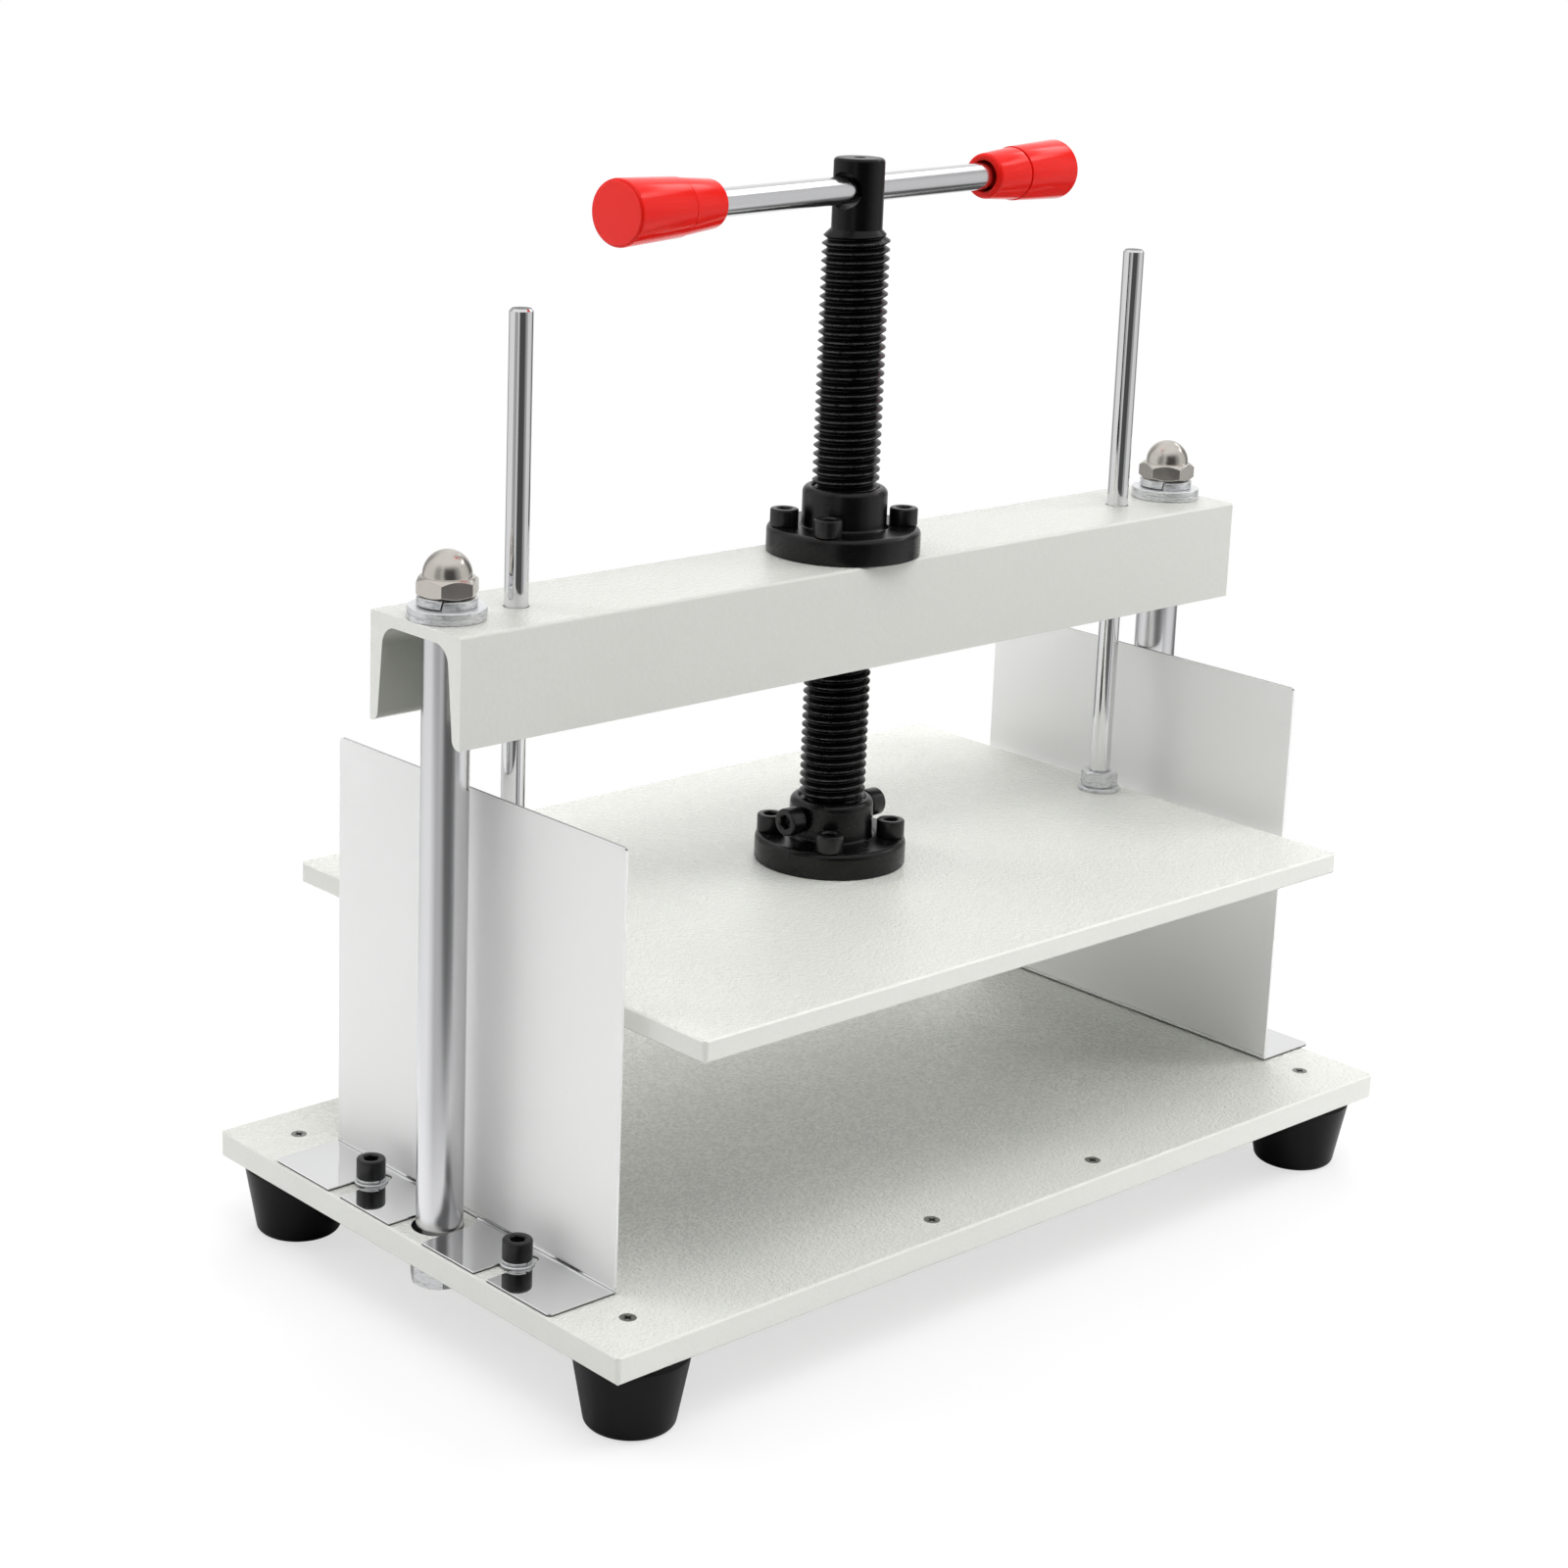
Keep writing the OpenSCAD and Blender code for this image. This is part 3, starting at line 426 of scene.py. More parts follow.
def chrome(start):
    """Hard chrome of the guide rods: faint streaks of haze along them, and darker sawn ends."""
    haze = noise(start, 1, 3, 0.5, stretched(start, (900, 900, 25)))
    end = ramp(start, squareness(start)[2], 0.7, 0.9)
    side = blend(start, haze, (0.76, 0.76, 0.77), (0.80, 0.80, 0.81))
    return {
        "Base Color": blend(start, end, side, (0.12, 0.12, 0.125)),
        "Metallic": 1.0,
        "Roughness": between(haze, 0.06, 0.12) + end * 0.25,
    }


def mirror_steel(start):
    """Polished stainless sheet: a mirror at the foot, hazier up the sheet, with faint streaks and a slow
    wave.
    Painted shadow darkens it next to the bed, along its foot and where it bends, and painted dark reflection
    its cut edges and the upper ones."""
    streak = noise(start, 1, 3, 0.6, stretched(start, (160, 160, 4)))
    wave = noise(start, 7, 1)
    height = split(start, place(start))[2]
    haze = ramp(start, height, BED_TOP + SHEET_HAZE[0], BED_TOP + SHEET_HAZE[1])
    sides = squareness(start)
    # Painted dark reflection: cut edges, where the normal leans between the axes, and level ones high up
    edge = 1 - ramp(start, larger(larger(sides[0], sides[1]), sides[2]), 0.6, 0.93)
    upper_edge_dark_reflection = ramp(start, sides[2], 0.8, 0.9) * ramp(start, height, GUIDE_MIDDLE, GUIDE_MIDDLE + 10 * MM)
    edge = larger(edge, upper_edge_dark_reflection * 0.8)
    # Painted shadow: the sheet is darkened next to the bed.
    under = 1 - ramp(start, height, BED_TOP + SHEET_SHADOW_TOP[0], BED_TOP + SHEET_SHADOW_TOP[1])
    base = blend(start, haze, (0.86, 0.862, 0.865), (0.94, 0.94, 0.935))
    return {
        # Painted dark reflection on the cut edges and painted shadow next to the bed
        "Base Color": blend(start, larger(edge * 0.85, under * 0.9), base, (0.03, 0.03, 0.03)),
        "Metallic": between(haze, 1, 0.2),
        "Roughness": between(haze, 0.04, 0.5) + streak * 0.02,
        "Normal": bump(start, wave, SHEET_WAVE, 0.25),
    }


def zinc(start):
    """Zinc plated washers and nuts: pale and satin, a little cloudy, with dark scratches round the upright
    edges."""
    cloud = noise(start, 420, 3, 0.6)
    scratch = noise(start, 1, 3, 0.7, stretched(start, (260, 260, 1500)))
    scratch = ramp(start, scratch, 0.5, 0.66) * (1 - ramp(start, squareness(start)[2], 0.02, 0.2))
    pale = blend(start, cloud, (0.68, 0.69, 0.70), (0.77, 0.78, 0.79))
    return {
        "Base Color": blend(start, scratch * 0.5, pale, (0.12, 0.12, 0.12)),
        "Metallic": 0.6,
        "Roughness": between(cloud, 0.24, 0.34),
        "Normal": bump(start, cloud, PLATING_DEPTH, 0.1, soft_edge(start, 0.2)),
    }


def nickel(start):
    """Nickel plated acorn nuts: warm and satin."""
    cloud = noise(start, 260, 3, 0.5)
    return {
        "Base Color": blend(start, cloud, (0.60, 0.565, 0.52), (0.68, 0.645, 0.60)),
        "Metallic": 1.0,
        "Roughness": between(cloud, 0.2, 0.27),
        "Normal": bump(start, cloud, PLATING_DEPTH, 0.15, soft_edge(start, 0.3)),
    }


def red_plastic(start):
    """Glossy red moulded grips with faint flow marks in the colour, and duller ends that are painted paler as
    painted light.
    """
    flow = noise(start, 90, 2, 0.5)
    along = vector_math(start, "DOT_PRODUCT", place(start), BAR_AXIS, output="Value") + BAR_SLIDE * MM
    end = ramp(start, abs(along), (HANDLE_HALF - 0.25) * MM, (HANDLE_HALF - 0.03) * MM)
    tone = blend(start, flow, (0.69, 0.009, 0.0055), (0.73, 0.012, 0.008))
    return {
        # Partly real, partly painted light: the outer ends are duller and painted paler.
        "Base Color": blend(start, end, tone, (0.95, 0.042, 0.036)),
        "Roughness": between(flow, 0.12, 0.14) + end * 0.2,
        "Specular IOR Level": 0.2,
    }


def sunk_steel(start):
    """Darkened nickel of the countersunk screws, painted black as shade in the cross and round the head."""
    smear = noise(start, 900, 2)
    face = ramp(start, split(start, place(start))[2], BED_TOP - HEAD_SHADE[0], BED_TOP - HEAD_SHADE[1])
    return {
        # Painted shade: below the bed's top the screws are black.
        "Base Color": blend(start, face, (0.005, 0.005, 0.005), (0.27, 0.27, 0.255)),
        "Metallic": 1.0,
        "Roughness": between(smear, 0.25, 0.4),
    }


def bronze(start):
    """Bearing bronze of the thrust washer."""
    lines = noise(start, 800, 2)
    return {
        "Base Color": blend(start, lines, (0.42, 0.26, 0.10), (0.52, 0.33, 0.14)),
        "Metallic": 1.0,
        "Roughness": between(lines, 0.25, 0.4),
    }


FINISHES = {f.__name__: finish(f.__name__, f) for f in (
    coat_paint, black_oxide, black_screw, black_bolt, black_rubber, ground_steel, bar_steel,
    chrome, mirror_steel, zinc, nickel, red_plastic, sunk_steel, bronze)}

NODE_FINISHES = {
    "coat_paint": ("base_plate", "press_platen", "top_beam"),
    "black_oxide": ("screw_nut", "thrust_cup"),
    "black_screw": ("press_screw",),
    "black_bolt": ("screw_nut_bolts", "thrust_cup_bolts", "retaining_screws", "guide_screws"),
    "sunk_steel": ("foot_screws", "front_screws"),
    "black_rubber": ("foot_front_left", "foot_front_right", "foot_back_left", "foot_back_right"),
    "ground_steel": ("column_left", "column_right"),
    "bar_steel": ("handle_bar",),
    "chrome": ("guide_rod_left", "guide_rod_right"),
    "mirror_steel": ("side_guide_left", "side_guide_right"),
    "zinc": ("beam_washers", "beam_spring_washers", "guide_washers", "guide_spring_washers",
             "rod_washers", "rod_nuts", "column_nuts", "foot_washers", "foot_nuts"),
    "nickel": ("acorn_nuts",),
    "red_plastic": ("grip_left", "grip_right"),
    "bronze": ("thrust_washer",),
}

for finish_name, members in NODE_FINISHES.items():
    for member in members:
        slots = frame["nodes"][member].data.materials
        slots.clear()
        slots.append(FINISHES[finish_name])


# Shapes, in millimetres: each returns points and faces, and faces point outwards

STEPS = 96
FINE_STEPS = 120
# Faces that meet at less than these degrees are smooth
CREASE = 32
SOFT_CREASE = 40
# Distances in metres within which two points are one, and below which an edge has no length
SAME_POINT = 2e-7
SAME_CAD_POINT = 1e-6
NO_LENGTH = 1e-8


def cad_box(node):
    """Lowest and highest corner of a CAD node, in millimetres."""
    box_low, box_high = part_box(node)
    return np.array(box_low) / MM, np.array(box_high) / MM


def cad_height(node):
    """Height of a CAD node, in millimetres."""
    box_low, box_high = cad_box(node)
    return box_high[2] - box_low[2]


def grid_faces(rows, columns, ring=False):
    """Quads between neighbours of a grid of points, wrapped along the columns, for a ring also along the
    rows."""
    row = np.arange(rows if ring else rows - 1)[:, None]
    column = np.arange(columns)[None, :]
    below, beside = (row + 1) % rows, (column + 1) % columns
    corners = [row * columns + column, row * columns + beside,
               below * columns + beside, below * columns + column]
    return np.stack([np.broadcast_to(c, np.broadcast(row, column).shape) for c in corners], 2).reshape(-1, 4)


def turned(outline, steps=STEPS, ring=False):
    """Outline turned about Z: x = r cos t, y = r sin t. A radius or a height may itself vary with t."""
    angle = np.arange(steps) * FULL_TURN / steps
    radius = np.array([np.broadcast_to(r, steps) for r, z in outline], float)
    height = np.array([np.broadcast_to(z, steps) for r, z in outline], float)
    points = np.stack([radius * np.cos(angle), radius * np.sin(angle), height], 2)
    return points.reshape(-1, 3), grid_faces(len(outline), steps, ring)


def rounded(corners, steps=6):
    """Outline through corners (x, y, r): an arc of radius r, tangent to both sides, replaces each corner."""
    flat = np.array([c[:2] for c in corners], float)
    outline = []
    for i, (x, y, r) in enumerate(corners):
        if r == 0:
            outline.append((x, y))
            continue
        to_last = flat[i - 1] - flat[i]
        to_next = flat[(i + 1) % len(flat)] - flat[i]
        to_last /= np.linalg.norm(to_last)
        to_next /= np.linalg.norm(to_next)
        half = math.acos(np.clip(to_last @ to_next, -1, 1)) / 2
        middle = to_last + to_next
        centre = flat[i] + middle / np.linalg.norm(middle) * r / math.sin(half)
        first = flat[i] + to_last * r / math.tan(half) - centre
        last = flat[i] + to_next * r / math.tan(half) - centre
        sweep = math.pi - 2 * half
        t = np.linspace(0, 1, steps + 1)[:, None]
        arc = (first * np.sin((1 - t) * sweep) + last * np.sin(t * sweep)) / math.sin(sweep)
        outline.extend(map(tuple, centre + arc))
    return outline


def hex_reach(flats, steps=STEPS):
    """Distance from a hexagon's middle to its side at each angle: half the flats over a cosine."""
    angle = np.arange(steps) * FULL_TURN / steps
    return flats / 2 / np.cos(angle % (FULL_TURN / 6) - FULL_TURN / 12)


def joined(shapes):
    """Several shapes as one list of points and one of faces."""
    points, faces, start = [], [], 0
    for shape_points, shape_faces in shapes:
        points.append(shape_points)
        faces.append(shape_faces + start)
        start += len(shape_points)
    return np.concatenate(points), np.concatenate(faces)


def placed(shape, origin, axis=(0, 0, 1), spin=0):
    """A shape spun round Z by that many degrees, its Z turned to the axis, its zero moved to the origin."""
    turn = Vector((0, 0, 1)).rotation_difference(Vector(axis)).to_matrix()
    turn = np.array(turn @ Matrix.Rotation(math.radians(spin), 3, "Z"))
    return shape[0] @ turn.T + np.array(origin, float), shape[1]


def add_mesh(name, points, faces):
    """A mesh from arrays of points in millimetres and of quads, with doubles merged and empty faces gone."""
    mesh = bpy.data.meshes.new(name)
    mesh.vertices.add(len(points))
    mesh.vertices.foreach_set("co", (points * MM).astype(np.float32).ravel())
    mesh.loops.add(faces.size)
    mesh.loops.foreach_set("vertex_index", faces.astype(np.int32).ravel())
    mesh.polygons.add(len(faces))
    mesh.polygons.foreach_set("loop_start", np.arange(0, faces.size, 4, dtype=np.int32))
    mesh.update(calc_edges=True)
    work = bmesh.new()
    work.from_mesh(mesh)
    bmesh.ops.remove_doubles(work, verts=work.verts, dist=SAME_POINT)
    bmesh.ops.dissolve_degenerate(work, edges=work.edges, dist=NO_LENGTH)
    bmesh.ops.holes_fill(work, edges=work.edges, sides=200)
    work.to_mesh(mesh)
    work.free()
    return mesh


def add_piece(name, mesh, finish_name, body, nodes, crease=CREASE):
    """An object for a finished mesh: its finish, its body, the nodes that it stands for. It is smooth up to
    a crease of that many degrees."""
    mesh.polygons.foreach_set("use_smooth", np.ones(len(mesh.polygons), bool))
    mesh.set_sharp_from_angle(angle=math.radians(crease))
    mesh.materials.clear()
    mesh.materials.append(FINISHES[finish_name])
    piece = bpy.data.objects.new(name, mesh)
    bpy.context.scene.collection.objects.link(piece)
    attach(piece, body)
    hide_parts(*nodes)
    return piece


def bevel(piece, width, segments=2, angle=35):
    """Rounds every edge sharper than the angle by that width, in millimetres."""
    made = piece.modifiers.new("edges", "BEVEL")
    made.width = width * MM
    made.segments = segments
    made.limit_method = "ANGLE"
    made.angle_limit = math.radians(angle)
    made.harden_normals = True


def merged_copy(node):
    """A CAD node's mesh with its loose triangles joined into flat faces."""
    mesh = frame["nodes"][node].data.copy()
    if "custom_normal" in mesh.attributes:
        mesh.attributes.remove(mesh.attributes["custom_normal"])
    work = bmesh.new()
    work.from_mesh(mesh)
    bmesh.ops.remove_doubles(work, verts=work.verts, dist=SAME_CAD_POINT)
    bmesh.ops.dissolve_limit(work, angle_limit=math.radians(0.4), verts=work.verts, edges=work.edges)
    for edge in work.edges:
        edge.smooth = True
    work.to_mesh(mesh)
    work.free()
    return mesh


# Coated plates, beam and sheet: the CAD's own faces with their edges eased

COATED_EASE = 0.6
SHEET_EASE = 0.22
EASED_EDGES = {
    "base_plate": ("coated_bed", "coat_paint", COATED_EASE),
    "press_platen": ("coated_platen", "coat_paint", COATED_EASE),
    "top_beam": ("coated_channel", "coat_paint", COATED_EASE),
    "side_guide_left": ("bent_guide_left", "mirror_steel", SHEET_EASE),
    "side_guide_right": ("bent_guide_right", "mirror_steel", SHEET_EASE),
}

body_of_node = {n: b for b, nodes in frame["record"]["behaviour"]["bodies"].items() for n in nodes}

for node, (name, finish_name, ease) in EASED_EDGES.items():
    eased = add_piece(name, merged_copy(node), finish_name, body_of_node[node], [node])
    bevel(eased, ease)


# Press screw

SCREW_PITCH = 3.25
SCREW_TURNS = 67
SPARE_TURNS = 2
SCREW_STEPS = 72
THREAD_BASE = 161.4
THREAD_START = 0.46
ROOT_R = 10.6
# The last turn ends that far below the thread's full length, and the first one swells by that slope
THREAD_CROP = 1.4
SWELL_SLOPE = 2.5
# Places across one pitch, from a crest to the next, and the share of the thread's depth cut away there
THREAD_SHARES = ((0.0, 0.0), (0.05, 0.0), (0.075, 0.04), (0.1, 0.12), (0.25, 0.5), (0.38, 0.84),
                 (0.43, 0.95), (0.46, 1.0), (0.54, 1.0), (0.57, 0.95), (0.62, 0.84), (0.75, 0.5),
                 (0.9, 0.12), (0.925, 0.04), (0.95, 0.0))
JOURNAL_R = 9.5
JOURNAL_ROUND = 0.6
GROOVE_R = 7.0
GROOVE_Z = (153.1, 158.5)
BOSS_R = 9.4
BOSS_ROUND = 1.5
# The boss's side has rows of faces up to that far below its top, so that the cross hole cuts even ones
BOSS_PLAIN = 1.4
BOSS_ROWS = 22
# The lathe's centre mark in the boss's top
CENTRE_MARK_R = 2.4
CENTRE_MARK_DEPTH = 1.8
CENTRE_MARK_ROUND = 0.4
CROSS_HOLE_R = 6.8
CROSS_HOLE_DROP = 11.6
CUTTER_HALF = 15


def threaded_wall(base, top, top_r):
    """Right-hand thread on a sheared grid: a point at turn share t and place s lies at height
    base + pitch (t + s + start), with the radius of the thread's outline at s. Radii stay under a 45
    degree cone that ends at the top, and heights are clipped there, so both ends are plain circles."""
    turn = np.arange(SCREW_STEPS) / SCREW_STEPS
    share, depth = np.array(THREAD_SHARES).T
    turns = np.arange(-SPARE_TURNS, SCREW_TURNS + 1)
    rows = (turns[:, None] + share[None, :]).ravel()
    cut = np.tile(depth, len(turns))
    height = base + SCREW_PITCH * (rows[:, None] + turn[None, :] + THREAD_START)
    radius = np.broadcast_to((CREST_R - cut * (CREST_R - ROOT_R))[:, None], height.shape)
    radius = np.minimum(radius, top_r + np.maximum(top - height, 0))
    radius = np.minimum(radius, JOURNAL_R + np.maximum(height - base, 0) * SWELL_SLOPE)
    height = np.clip(height, base, top)
    angle = turn[None, :] * FULL_TURN
    points = np.stack([radius * np.cos(angle), radius * np.sin(angle), height], 2)
    row = np.arange(len(rows) - 1)[:, None]
    column = np.arange(SCREW_STEPS)[None, :]
    last = column == SCREW_STEPS - 1
    beside = np.where(last, 0, column + 1)
    shift = np.where(last, len(share), 0)
    keep = np.broadcast_to(row + 1 + shift < len(rows), (len(rows) - 1, SCREW_STEPS))
    quads = np.stack([np.broadcast_to(q, keep.shape)[keep] for q in (
        row * SCREW_STEPS + column, (row + shift) * SCREW_STEPS + beside,
        (row + 1 + shift) * SCREW_STEPS + beside, (row + 1) * SCREW_STEPS + column)], 1)
    return points.reshape(-1, 3), quads


def screw_shape(foot, crown):
    """Turned journal with its groove, the thread, and the turned boss with a centre mark in its top."""
    cone_top = THREAD_BASE + SCREW_TURNS * SCREW_PITCH - THREAD_CROP
    end = rounded([(0, foot, 0), (JOURNAL_R, foot, JOURNAL_ROUND), (JOURNAL_R, GROOVE_Z[0], 0)])
    journal = [*end, (GROOVE_R, GROOVE_Z[0]), (GROOVE_R, GROOVE_Z[1]), (JOURNAL_R, GROOVE_Z[1]),
               (JOURNAL_R, THREAD_BASE)]
    side = [(BOSS_R, z) for z in np.linspace(cone_top, crown - BOSS_PLAIN, BOSS_ROWS)]
    cap = rounded([(BOSS_R, cone_top, 0), (BOSS_R, crown, BOSS_ROUND),
                   (CENTRE_MARK_R, crown, CENTRE_MARK_ROUND), (0, crown - CENTRE_MARK_DEPTH, 0)])
    return joined([turned(journal, SCREW_STEPS), threaded_wall(THREAD_BASE, cone_top, BOSS_R),
                   turned(side[:-1] + cap[1:], SCREW_STEPS)])


def make_press_screw():
    """The screw's shape with the bar's cross hole cut through its boss."""
    low, high = cad_box("press_screw")
    hole = [(0, -CUTTER_HALF), (CROSS_HOLE_R, -CUTTER_HALF), (CROSS_HOLE_R, CUTTER_HALF), (0, CUTTER_HALF)]
    cutter_shape = placed(turned(hole, SCREW_STEPS), (0, 0, high[2] - CROSS_HOLE_DROP), BAR_AXIS)
    cutter = bpy.data.objects.new("cutter", add_mesh("cutter", *cutter_shape))
    body = bpy.data.objects.new("screw", add_mesh("screw", *screw_shape(low[2], high[2])))
    for solid in (cutter, body):
        bpy.context.scene.collection.objects.link(solid)
    cut = body.modifiers.new("cross_hole", "BOOLEAN")
    cut.object = cutter
    cut.operation = "DIFFERENCE"
    cut.solver = "EXACT"
    bpy.context.view_layer.update()
    done = bpy.data.meshes.new_from_object(body.evaluated_get(bpy.context.evaluated_depsgraph_get()))
    for solid in (cutter, body):
        bpy.data.objects.remove(solid)
    add_piece("threaded_screw", done, "black_screw", "screw", ["press_screw"], SOFT_CREASE)


make_press_screw()


# Flanges of the screw's nut and of the platen's cup

FLANGE_R = 28.8
FLANGE_H = 10.0
RIM_EDGE = 0.5
RIM_ROUND = 2.4
HUB_R = 15.9
HUB_H = 25.0
HUB_FILLET = 1.1
HUB_SHOULDER = 2.7
SPIGOT_R = 15.0
SPIGOT_EDGE = 0.6
MOUTH_R = 12.65
MOUTH_CHAMFER = 0.5
CUP_MOUTH_DEPTH = 1.4
RUN_GAP = 0.05


def flange(bore, bottom, mouth_depth):
    """Turned casting: rim with a soft top edge, a fillet to the hub, a round shoulder and a chamfered mouth.
    With its bottom below zero it has a spigot."""
    mouth = MOUTH_R if mouth_depth else bore
    inner = [(mouth + MOUTH_CHAMFER, HUB_H, 0), (mouth, HUB_H - MOUTH_CHAMFER, 0)]
    if mouth_depth:
        inner += [(mouth, HUB_H - mouth_depth, 0), (bore, HUB_H - mouth_depth, 0)]
    spigot = [(SPIGOT_R, bottom, SPIGOT_EDGE), (SPIGOT_R, 0, 0)] if bottom else []
    corners = [(bore, bottom, 0), *spigot, (FLANGE_R, 0, RIM_EDGE), (FLANGE_R, FLANGE_H, RIM_ROUND),
               (HUB_R, FLANGE_H, HUB_FILLET), (HUB_R, HUB_H, HUB_SHOULDER), *inner]
    return turned(rounded(corners, 7), FINE_STEPS, ring=True)


for node, name, bore, has_spigot, mouth_depth in (
        ("screw_nut", "flanged_nut", CREST_R + RUN_GAP, True, 0),
        ("thrust_cup", "flanged_cup", JOURNAL_R + RUN_GAP, False, CUP_MOUTH_DEPTH)):
    low, high = cad_box(node)
    seat = high[2] - HUB_H
    shape = flange(bore, low[2] - seat if has_spigot else 0, mouth_depth)
    add_piece(name, add_mesh(name, *placed(shape, (0, 0, seat))), "black_oxide", body_of_node[node],
              [node], SOFT_CREASE)


# Cap screws

CAP_R = 5.3
CAP_H = 6.5
GUIDE_CAP_H = 7.2
CAP_SEAT_H = 6.0
CAP_EDGE = 0.25
CAP_ROUND = 0.75
CAP_FLAT_R = 3.2
CAP_SHANK_R = 2.98
SHANK_CHAMFER = 0.5
CAP_SOCKET = 5.0
SOCKET_CONE_R = 2.9
SOCKET_CONE_TOP = 0.28
SOCKET_CONE_LOW = 0.5
SOCKET_DEPTH = 3.2
SOCKET_TIP = 4
BOLT_CIRCLE_R = 22.8
GUIDE_SCREW_X = 183.4
GUIDE_SCREW_Y = 42.6
NUT_BOLT_ANGLE = 31
CUP_BOLT_ANGLE = 45
# The retaining screws end that far from the bottom of the screw's groove
RETAINER_GAP = 0.3


def cap_screw(length, tall):
    """Socket screw, its head standing on zero: turned head with a chamfered rim, a hexagon socket that
    opens through a shallow cone, and a plain shank."""
    socket = hex_reach(CAP_SOCKET)
    head = rounded([(CAP_SHANK_R, 0, 0), (CAP_R, 0, CAP_EDGE), (CAP_R, tall, CAP_ROUND),
                    (CAP_FLAT_R, tall, 0)], 4)
    return turned([
        (0, -length), (CAP_SHANK_R - SHANK_CHAMFER, -length), (CAP_SHANK_R, SHANK_CHAMFER - length), *head,
        (np.maximum(socket, SOCKET_CONE_R), tall - SOCKET_CONE_TOP), (socket, tall - SOCKET_CONE_LOW),
        (socket, tall - SOCKET_DEPTH), (0, tall - SOCKET_TIP)])


def add_cap_screws(name, node, length, places, axes=None, tall=CAP_H):
    """One object with a screw at each place."""
    axes = axes or [(0, 0, 1)] * len(places)
    shape = joined([placed(cap_screw(length, tall), p, a) for p, a in zip(places, axes)])
    add_piece(name, add_mesh(name, *shape), "black_bolt", body_of_node[node], [node])


def bolt_places(angle, seat):
    """The corners of a bolt pattern at that angle from the beam's direction."""
    turns = [math.radians(t) for t in (angle, 180 - angle, 180 + angle, -angle)]
    return [(BOLT_CIRCLE_R * math.cos(t), BOLT_CIRCLE_R * math.sin(t), seat) for t in turns]


for node, name, angle in (("screw_nut_bolts", "nut_cap_screws", NUT_BOLT_ANGLE),
                          ("thrust_cup_bolts", "cup_cap_screws", CUP_BOLT_ANGLE)):
    low, high = cad_box(node)
    seat = high[2] - CAP_SEAT_H
    add_cap_screws(name, node, seat - low[2], bolt_places(angle, seat))

low, high = cad_box("retaining_screws")
retainer_z = (low[2] + high[2]) / 2
head_base = high[0] - CAP_SEAT_H
add_cap_screws("cup_retaining_screws", "retaining_screws", head_base - GROOVE_R - RETAINER_GAP,
               [(s * head_base, 0, retainer_z) for s in (1, -1)], [(s, 0, 0) for s in (1, -1)])

low, high = cad_box("guide_screws")
guide_seat = high[2] - CAP_SEAT_H
guide_places = [(x * GUIDE_SCREW_X, y * GUIDE_SCREW_Y, guide_seat) for x in (1, -1) for y in (1, -1)]
add_cap_screws("guide_cap_screws", "guide_screws", guide_seat - low[2], guide_places, tall=GUIDE_CAP_H)


# Nuts and washers

NUT_CONE = 30
NUT_FACE_SHARE = 0.475
NUT_CHAMFER = 0.5
NUT_EASE = 0.15
COLUMN_THREAD_R = 6
COLUMN_NUT_FLATS = 19
ROD_NUT_FLATS = 13.4
ROD_NUT_BORE = 4.02
ACORN_FLATS = 19.4
ACORN_HEX_H = 6.6
ACORN_CONE = 38
ACORN_DOME_R = 8.5
DOME_ROWS = 14
# The acorn nuts stand that much higher than their CAD node, and their bore ends that far above the dome's
# middle
ACORN_EXTRA = 0.6
ACORN_BORE_RISE = 3
ACORN_CHAMFER = 0.6
ACORN_SPINS = (9.4, -17.4)
# Neck under the dome: how far beyond the dome's radius and how high above the hexagon
ACORN_NECK = ((0.35, 0), (0.08, 0.12), (0, 0.4))
RING_CLIMB_SHARE = 0.16
RING_ROUND = 0.3
RING_STEPS = 72
# A ring's gap is a share of the turn, and its ends lean by that share of its height
BEAM_RING_R = 10.4
BEAM_RING_GAP = 0.008
BEAM_RING_LEAN = 0.2
BEAM_RING_SPINS = (215, 223)
GUIDE_RING_R = 5.4
GUIDE_RING_BORE = 3
GUIDE_RING_H = 1.2
GUIDE_RING_GAP = 0.024
GUIDE_RING_LEAN = 0.6
GUIDE_RING_SPIN = -90
NUT_CREASE = 24


def hex_ends(flats, height, upper_cone=NUT_CONE):
    """Side of a hexagonal nut, its corners turned off by a 30 degree cone below and another one above."""
    reach = hex_reach(flats)
    face = NUT_FACE_SHARE * flats
    low_drop, high_drop = ((reach - face) * math.tan(math.radians(a)) for a in (NUT_CONE, upper_cone))
    return [(face, 0), (reach, low_drop), (reach, height - high_drop), (face, height)]


def hex_nut(flats, height, bore):
    """Hexagonal nut standing on zero, with both ends of its bore chamfered."""
    return turned([(bore, NUT_CHAMFER), (bore + NUT_CHAMFER, 0), *hex_ends(flats, height),
                   (bore + NUT_CHAMFER, height), (bore, height - NUT_CHAMFER)], ring=True)


def acorn_nut(top):
    """Hexagonal nut standing on zero under a domed cap: a quarter circle turned about the axis."""
    middle = top - ACORN_DOME_R
    t = np.linspace(0, FULL_TURN / 4, DOME_ROWS)
    dome = list(zip(ACORN_DOME_R * np.cos(t), middle + ACORN_DOME_R * np.sin(t)))
    neck = [(ACORN_DOME_R + out, ACORN_HEX_H + up) for out, up in ACORN_NECK]
    return turned([(0, middle + ACORN_BORE_RISE), (COLUMN_THREAD_R, middle + ACORN_BORE_RISE),
                   (COLUMN_THREAD_R, ACORN_CHAMFER), (COLUMN_THREAD_R + ACORN_CHAMFER, 0),
                   *hex_ends(ACORN_FLATS, ACORN_HEX_H, ACORN_CONE), *neck, *dome])


